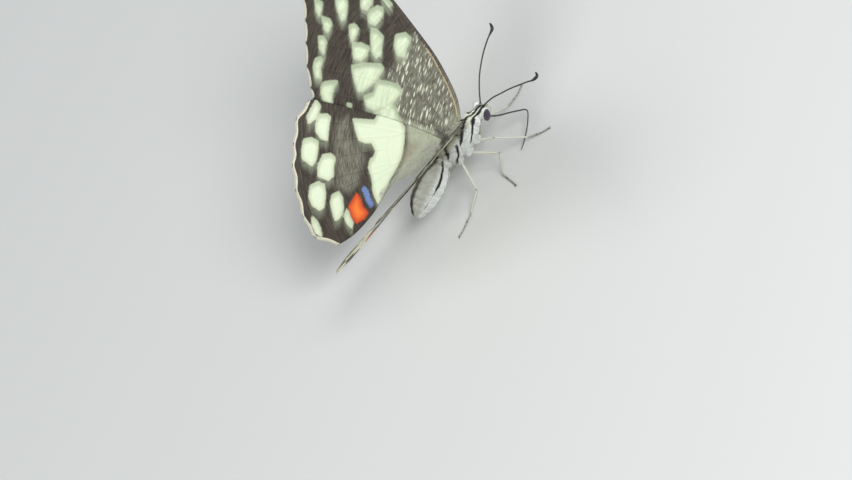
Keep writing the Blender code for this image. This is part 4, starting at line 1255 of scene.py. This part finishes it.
def add_orbit(side, turn, colour):
    """The white scales that stand round an eye and lean over its edge, most at the rear."""
    count = 3000
    around = 2 * np.pi * RANDOM.random(count)
    level = varied(count, -0.30, 0.50)
    rear = fade(np.cos(around), 0.2, -0.7)
    level += 0.10 * rear
    ring = np.sqrt(1 - level**2)
    ball = np.stack([ring * np.cos(around), turn * level, ring * np.sin(around)], axis=1)
    half = np.array(EYE_HALF_SIZE)
    roots = (ball * half + np.array(EYE_OFFSET) * (1, turn, 1)) @ HEAD_TURN.T + HEAD_CENTRE
    normals = unit(ball / half) @ HEAD_TURN.T
    lift = varied(count, 0.10, 0.25)
    directions = combed(normals, HEAD_TURN @ np.array((0.0, turn, 0.0)), lift, 0.2)
    lengths = (0.13 + 0.17 * rear) * varied(count, 0.7, 0.5)
    widths = varied(count, 0.020, 0.010)
    values = {"ink": -1, "white": 1, "olive": 0, "cream": 0, "tuft": RANDOM.random(count)}
    shape = (normals, directions, lengths, widths, 0.04)
    unwrapped = np.stack([0.02 + 0.96 * around / (2 * np.pi), 0.5 + level], axis=1)
    add_blades(f"eye_{side}_orbit", colour, "dark_down", roots, shape, values, unwrapped)


def head_point(offset):
    """A place given from the head's middle, in the turned head's own axes."""
    return HEAD_TURN @ np.array(offset, float) + np.array(HEAD_CENTRE)


def straightened(points):
    """The places as they would be if the head looked straight ahead."""
    share = fade(points[:, 0], 4.6, 5.8)[:, None]
    local = (points - HEAD_CENTRE) @ HEAD_TURN + HEAD_CENTRE
    return points * (1 - share) + local * share


def sphere(subdivisions):
    """The points and faces of a ball of small triangles."""
    tool = bmesh.new()
    bmesh.ops.create_icosphere(tool, subdivisions=subdivisions, radius=1.0)
    points = [vertex.co.copy() for vertex in tool.verts]
    faces = [tuple(v.index for v in face.verts) for face in tool.faces]
    tool.free()
    return points, faces


def make_eye(side, turn, colour):
    """A compound eye: a dome of small round lenses."""
    fine, coarse = ((7, 5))
    lenses, _ = sphere(coarse)
    tree = KDTree(len(lenses))
    for n, place in enumerate(lenses):
        tree.insert(place, n)
    tree.balance()
    ball, faces = sphere(fine)
    gaps = np.array([tree.find(place)[2] for place in ball])
    swell = LENS_RISE * (1 - np.clip(gaps / LENS_RADIUS, 0, 1.3) ** 2)
    ball = np.array(ball)
    points = ball * (np.array(EYE_HALF_SIZE) + swell[:, None]) + np.array(EYE_OFFSET) * (1, turn, 1)
    name = "eye_" + side
    piece = new_piece(name + "_facets", points @ HEAD_TURN.T + HEAD_CENTRE, faces, colour)
    add_values(piece, {"rim": fade(ball[:, 1] * turn, 0.20, 0.02)}, ball)
    finish_piece(piece, "eye", name)


def round_rings(values, sides):
    """A value for each ring of a tube, as one for each of the tube's vertices."""
    return np.concatenate([values[:1], np.repeat(values[1:-1], sides), values[-1:]])


def add_horn(name, node, colour, path, radii, light, sides, flatness=1.0, profile=None):
    """A closed tube with a lightness for each of its rings."""
    radii[0] = radii[-1] = 0
    radii[-2] *= 0.5
    vertices, faces = tube(path, radii, radii * flatness, sides, profile=profile)
    piece = new_piece(name, vertices, faces, colour)
    add_values(piece, {"light": round_rings(light, sides)}, vertices)
    finish_piece(piece, "dark_horn", node)


def make_antenna(side, base, points, colour):
    """A ringed feeler with an upturned club and a paler base to each ring."""
    path = np.array([head_point(p) for p in even(curve([base, *points], 12), 0.09)])
    share = np.linspace(0, 1, len(path))
    ring = np.linspace(0, ANTENNA_RINGS, len(path)) % 1.0
    swell = fade(np.abs(share - 0.915), 0.10, 0)
    radii = (0.135 + 0.17 * swell) * (1 - 0.10 * np.cos(2 * np.pi * ring)) + 0.10 * fade(share, 0.03, 0.0)
    light = 0.55 * fade(ring, 0.2, 0.0) * fade(share, 0.8, 0.2) + 0.3 * fade(share, 0.97, 1.0)
    add_horn(f"antenna_{side}_rings", "antenna_" + side, colour, path, radii, light, 14)


def make_tongue(colour):
    """Two half tubes side by side, ringed all along."""
    path = even(curve(TONGUE, 12), 0.09) + np.array(HEAD_CENTRE)
    share = np.linspace(0, 1, len(path))
    ring = np.linspace(0, TONGUE_RINGS, len(path)) % 1.0
    radii = (0.235 - 0.075 * share) * (1 - 0.07 * np.cos(2 * np.pi * ring))
    light = 0.35 * fade(ring, 0.3, 0.0) + 0.45 * fade(share, 0.85, 1.0)
    add_horn(
        "proboscis_tube", "proboscis", colour, path, radii, light, 20, 0.8,
        lambda turn: 0.80 + 0.20 * np.cos(2 * turn),
    )


def make_palps(colour, hair):
    """The two palps and their long hair."""
    for side, turn in (("left", 1), ("right", -1)):
        line = curve([(x, turn * y, z) for x, y, z in PALP], 8)
        radii = curve([(r, 0) for r in PALP_RADII], 8)[:, 0]
        radii[0] = radii[-1] = 0
        vertices, faces = tube(np.array([head_point(p) for p in line]), radii, radii, 20)
        piece = new_piece(f"palp_{side}_skin", vertices, faces, colour)
        values = body_marks(vertices)
        values["ink"] = np.full(len(vertices), -1.0)
        values["cream"] = np.full(len(vertices), 0.6)
        add_values(piece, values, vertices)
        finish_piece(piece, "cream_down", "palp_" + side)
        per_mm2, width, jitter = COATS["palp_hair"]
        places, normals = surface_samples(vertices, faces, per_mm2, lambda p: p[:, 0] > 0)
        count = len(places)
        lift = varied(count, 0.35, 0.4)
        lengths = varied(count, 0.45, 0.3)
        directions = combed(normals, (0.6, 0.0, 0.9), lift, jitter)
        shape = (normals, directions, lengths, varied(count, *width), 0.06)
        values = {"ink": -1, "white": 0.9, "olive": 0, "cream": 0.6, "tuft": RANDOM.random(count)}
        flat = places[:, [2, 1]]
        unwrapped = (flat - flat.min(axis=0)) / (flat.max(axis=0) - flat.min(axis=0)) * 0.9 + 0.05
        add_blades(f"palp_{side}_hair", hair, "cream_down", places, shape, values, unwrapped)


def cone(base, tip, radius, sides=6):
    """A small spine."""
    length = tip - base
    radii = [0, radius, radius * 0.6, 0]
    return tube([base - length * 0.05, base, base + length * 0.5, tip], radii, radii, sides, (0.3, 0.8, 0.5))


def rounded(share, power):
    """How a limb narrows to its ends: 0 there and 1 between."""
    return np.sqrt(np.clip(1 - (np.abs(share - 0.5) * 2) ** power, 0, 1))


def make_leg(pair, side, turn, colour):
    """Hip, thigh, shin with spurs, five foot joints with spines, and two claws."""
    joints = np.array(LEGS[pair]) * (1, turn, 1) + (0, 0, BODY_HEIGHT)
    joints[2:, 0] += LEFT_LEG_SHIFT * (turn > 0)
    coxa, thigh, knee, ankle, toe = joints
    start_side = (1, 0, 0) if pair == "middle" else (0.2, 0.9, 0.1)
    parts, lights = [], []

    def add(form, light):
        parts.append(form)
        lights.append(np.broadcast_to(light, len(form[0])))

    def add_joint(points, radii, light, sides):
        radii[0] = radii[-1] = 0
        add(tube(points, radii, radii, sides, start_side), round_rings(light, sides))

    def add_limb(start, end, first, last, bulge, shade):
        share = (1 - np.cos(np.pi * np.linspace(0, 1, 22))) / 2
        radii = (first + (last - first) * share + bulge * np.sin(np.pi * share)) * rounded(share, 12)
        light = 0.85 - shade * np.maximum(fade(share, 0.08, 0.0), fade(share, 0.90, 1.0))
        add_joint(start + (end - start) * share[:, None], radii, light, 14)

    thigh_way, shin_way = unit(knee - thigh), unit(ankle - knee)
    add_limb(coxa, thigh + (thigh - coxa) * 0.1, *LIMBS["hip"])
    add_limb(thigh - thigh_way * 0.1, knee + thigh_way * 0.12, *LIMBS["thigh"])
    add_limb(knee - shin_way * 0.10, ankle + shin_way * 0.08, *LIMBS["shin"])

    heading = unit((toe - ankle) * (1, 1, 0))
    across = np.cross(heading, (0, 0, 1))
    foot = even(np.vstack([ankle, toe - heading * FOOT_LENGTH, toe]), 0.05)
    lengths = np.concatenate([[0], np.cumsum(np.linalg.norm(np.diff(foot, axis=0), axis=1))])

    def on_foot(at):
        return np.stack([np.interp(at, lengths, foot[:, k]) for k in range(3)], axis=-1)

    share = np.linspace(0, 1, 12)
    cuts = np.array(FOOT_CUTS) * lengths[-1]
    for a, b in zip(cuts, cuts[1:]):
        radii = (FOOT_RADIUS + 0.03 * share) * rounded(share, 8)
        add_joint(on_foot(np.linspace(a - 0.03, b + 0.03, 12)), radii, 0.55 - 0.5 * fade(share, 0.7, 1.0), 10)
    for s in (1, -1):
        claw = [toe + heading * ahead + across * s * aside + (0, 0, up) for ahead, aside, up in CLAW]
        add(tube(curve(claw, 4), CLAW_RADII, CLAW_RADII, 6, (0.1, 0.2, 0.9)), 0)
    for s in (1, -1) if pair != "front" else ():
        start = ankle - shin_way * 0.3
        add(cone(start, start + shin_way * SPUR[0] + across * s * SPUR[1], SPUR[2]), 0.5)
    for k in range(FOOT_SPINES):
        at = lengths[-1] * (0.04 + 0.9 * k / (FOOT_SPINES - 1))
        centre = on_foot(at)
        ahead = unit(on_foot(at + 0.2) - centre)
        beside = across * (1 if k % 2 else -1)
        start = centre + beside * 0.12
        add(cone(start, start + ahead * SPINE[0] + beside * SPINE[1], SPINE[2], 5), 0)
    vertices, faces = joined(parts)
    vertices[:, 2] = np.maximum(vertices[:, 2], 0.0)
    name = f"leg_{pair}_{side}"
    piece = new_piece(name + "_look", vertices, faces, colour)
    add_values(piece, {"light": np.concatenate(lights)}, vertices)
    finish_piece(piece, "leg", name)


def margin_fringe(wing, name, held, layer, colour):
    """Short scales that stand out from the outer margin, pale between the veins."""
    line = even(wing.termen, 0.11)
    along = unit(np.gradient(line, axis=0))
    out = np.stack([-along[:, 1], along[:, 0]], axis=1)
    out *= np.sign(((line - line.mean(axis=0) * 0.3) * out).sum(axis=1))[:, None]
    out = unit(out + RANDOM.normal(0, 0.12, out.shape))
    gap = np.min(np.linalg.norm(line[:, None, :] - np.array(wing.outer)[None], axis=2), axis=1)
    swept = held.swept(line, wing.fore)
    roots = held.points(swept, layer)
    normals = held.points(swept, layer + 1.0) - roots
    directions = unit(held.points(held.swept(line + out * 0.5, wing.fore), layer) - roots)
    light = fade(gap, 0.10, 0.55)
    lengths = varied(len(line), 0.30, 0.16) * (0.75 if wing.fore else 1.0) * (0.45 + 0.55 * light)
    shape = (normals, directions, lengths, 0.05, 0)
    add_blades(name + "_fringe", colour, "wing", roots, shape, {"light": light})


def inner_margin_hair(wing, name, held, layer, colour):
    """Long soft hair on the upper side along the hindwing's inner margin and root."""
    count = 1100
    along = RANDOM.random(count)
    places = np.stack([0.4 + 1.9 * RANDOM.random(count) ** 1.5 + 1.2 * along, -2.6 - 15.0 * along], axis=1)
    places = places[polygon_depth(places, wing.outline) > 0.15]
    roots = held.points(places, layer + MEMBRANE_HALF)
    normals = held.points(places, layer + MEMBRANE_HALF + 1.0) - roots
    lift = varied(len(places), 0.04, 0.12)
    directions = combed(normals, (-1.0, -0.12 * held.side, -0.25), lift, 0.12)
    shape = (normals, directions, varied(len(places), 0.6, 0.8), 0.015, 0.08)
    tuft = RANDOM.random(len(places))
    values = {"ink": -1, "white": 0.3 + 0.5 * tuft, "olive": 0.3 * tuft, "cream": 0, "tuft": tuft}
    add_blades(name + "_hair", colour, "wing", roots, shape, values)


def make_wings():
    """Both pairs of wings, with their fringes and the hindwings' hair."""
    scales = wing_paint()
    fringe = horn_paint("fringe_scales")
    hair = down_paint("wing_hair", 0.8, True)
    fore = Wing(FOREWING_COSTA, FOREWING_TERMEN, FOREWING_INNER, FOREWING_VEINS, FOREWING_SCALLOP, True)
    hind = Wing(HINDWING_COSTA, HINDWING_TERMEN, HINDWING_INNER, HINDWING_VEINS, HINDWING_SCALLOP, False)
    for side, numbers in WINGS_HELD.items():
        held = Held(*numbers)
        for wing, kind, layer in ((fore, "forewing_", WING_LAYER), (hind, "hindwing_", -WING_LAYER)):
            wing.build(kind + side, held, layer, scales)
            margin_fringe(wing, kind + side, held, layer, fringe)
        inner_margin_hair(hind, "hindwing_" + side, held, -WING_LAYER, hair)


def add_lamps():
    """Soft daylight from all round and two soft lamps."""
    world = bpy.data.worlds.new("studio")
    bpy.context.scene.world = world
    world.use_nodes = True
    sky = world.node_tree.nodes["Background"].inputs
    sky["Color"].default_value = SKY_COLOUR
    sky["Strength"].default_value = SKY_STRENGTH
    for name, (place, size, power) in LAMPS.items():
        light = bpy.data.lights.new(name, "AREA")
        light.size = size
        light.energy = power
        lamp = bpy.data.objects.new(name, light)
        lamp.location = place
        lamp.rotation_euler = (-Vector(place)).to_track_quat("-Z", "Y").to_euler()
        bpy.context.scene.collection.objects.link(lamp)


def add_camera():
    """The camera, turned about its aim and rolled as in the photograph."""
    a, e = CAMERA_AZIMUTH, CAMERA_ELEVATION
    away = Vector((math.cos(e) * math.sin(a), -math.cos(e) * math.cos(a), math.sin(e)))
    place = Vector(CAMERA_AIM) + away * CAMERA_DISTANCE
    level_right = (-away).cross(Vector((0, 0, 1))).normalized()
    level_up = level_right.cross(-away)
    c, s = math.cos(CAMERA_ROLL), math.sin(CAMERA_ROLL)
    right = level_right * c + level_up * s
    up = level_up * c - level_right * s
    target = Vector(CAMERA_AIM) + right * FRAMING[0] + up * FRAMING[1]
    back = (place - target).normalized()
    right = up.cross(back).normalized()
    up = back.cross(right)
    camera_data = bpy.data.cameras.new("camera")
    camera_data.lens = CAMERA_LENS
    camera = bpy.data.objects.new("camera", camera_data)
    turn = Matrix((right, up, back)).transposed()
    camera.matrix_world = Matrix.Translation(place * MM + SHIFT) @ turn.to_4x4()
    bpy.context.scene.collection.objects.link(camera)
    bpy.context.scene.camera = camera


def make_stage():
    """A plain pale floor, soft light, and the camera."""
    paint = Paint("floor", 0.8)
    paint.finish("Base Color", FLOOR_COLOUR)
    corners = np.array([(-1, -1, 0), (1, -1, 0), (1, 1, 0), (-1, 1, 0)]) * FLOOR_REACH
    floor = new_piece("floor", corners, [(0, 1, 2, 3)], paint.material, False)
    add_lamps()
    add_camera()
    bpy.context.scene.view_settings.view_transform = "Standard"


def main():
    """Wings, body, head parts, legs, and the stage."""
    make_wings()
    skin = down_paint("body_down", 0.75)
    hair = down_paint("body_hair", 0.8, True)
    points, faces = body_skin(skin)
    coats(points, faces, hair)
    eye = eye_paint()
    feeler = horn_paint("feeler_horn")
    for side, turn, line in (("left", 1, LEFT_ANTENNA), ("right", -1, RIGHT_ANTENNA)):
        make_eye(side, turn, eye)
        add_orbit(side, turn, hair)
        make_antenna(side, np.array(ANTENNA_BASE) * (1, turn, 1), line, feeler)
    make_tongue(horn_paint("tongue_horn"))
    make_palps(skin, hair)
    leg = horn_paint("leg_scales")
    for pair in LEGS:
        make_leg(pair, "right", -1, leg)
        make_leg(pair, "left", 1, leg)
    make_stage()


main()
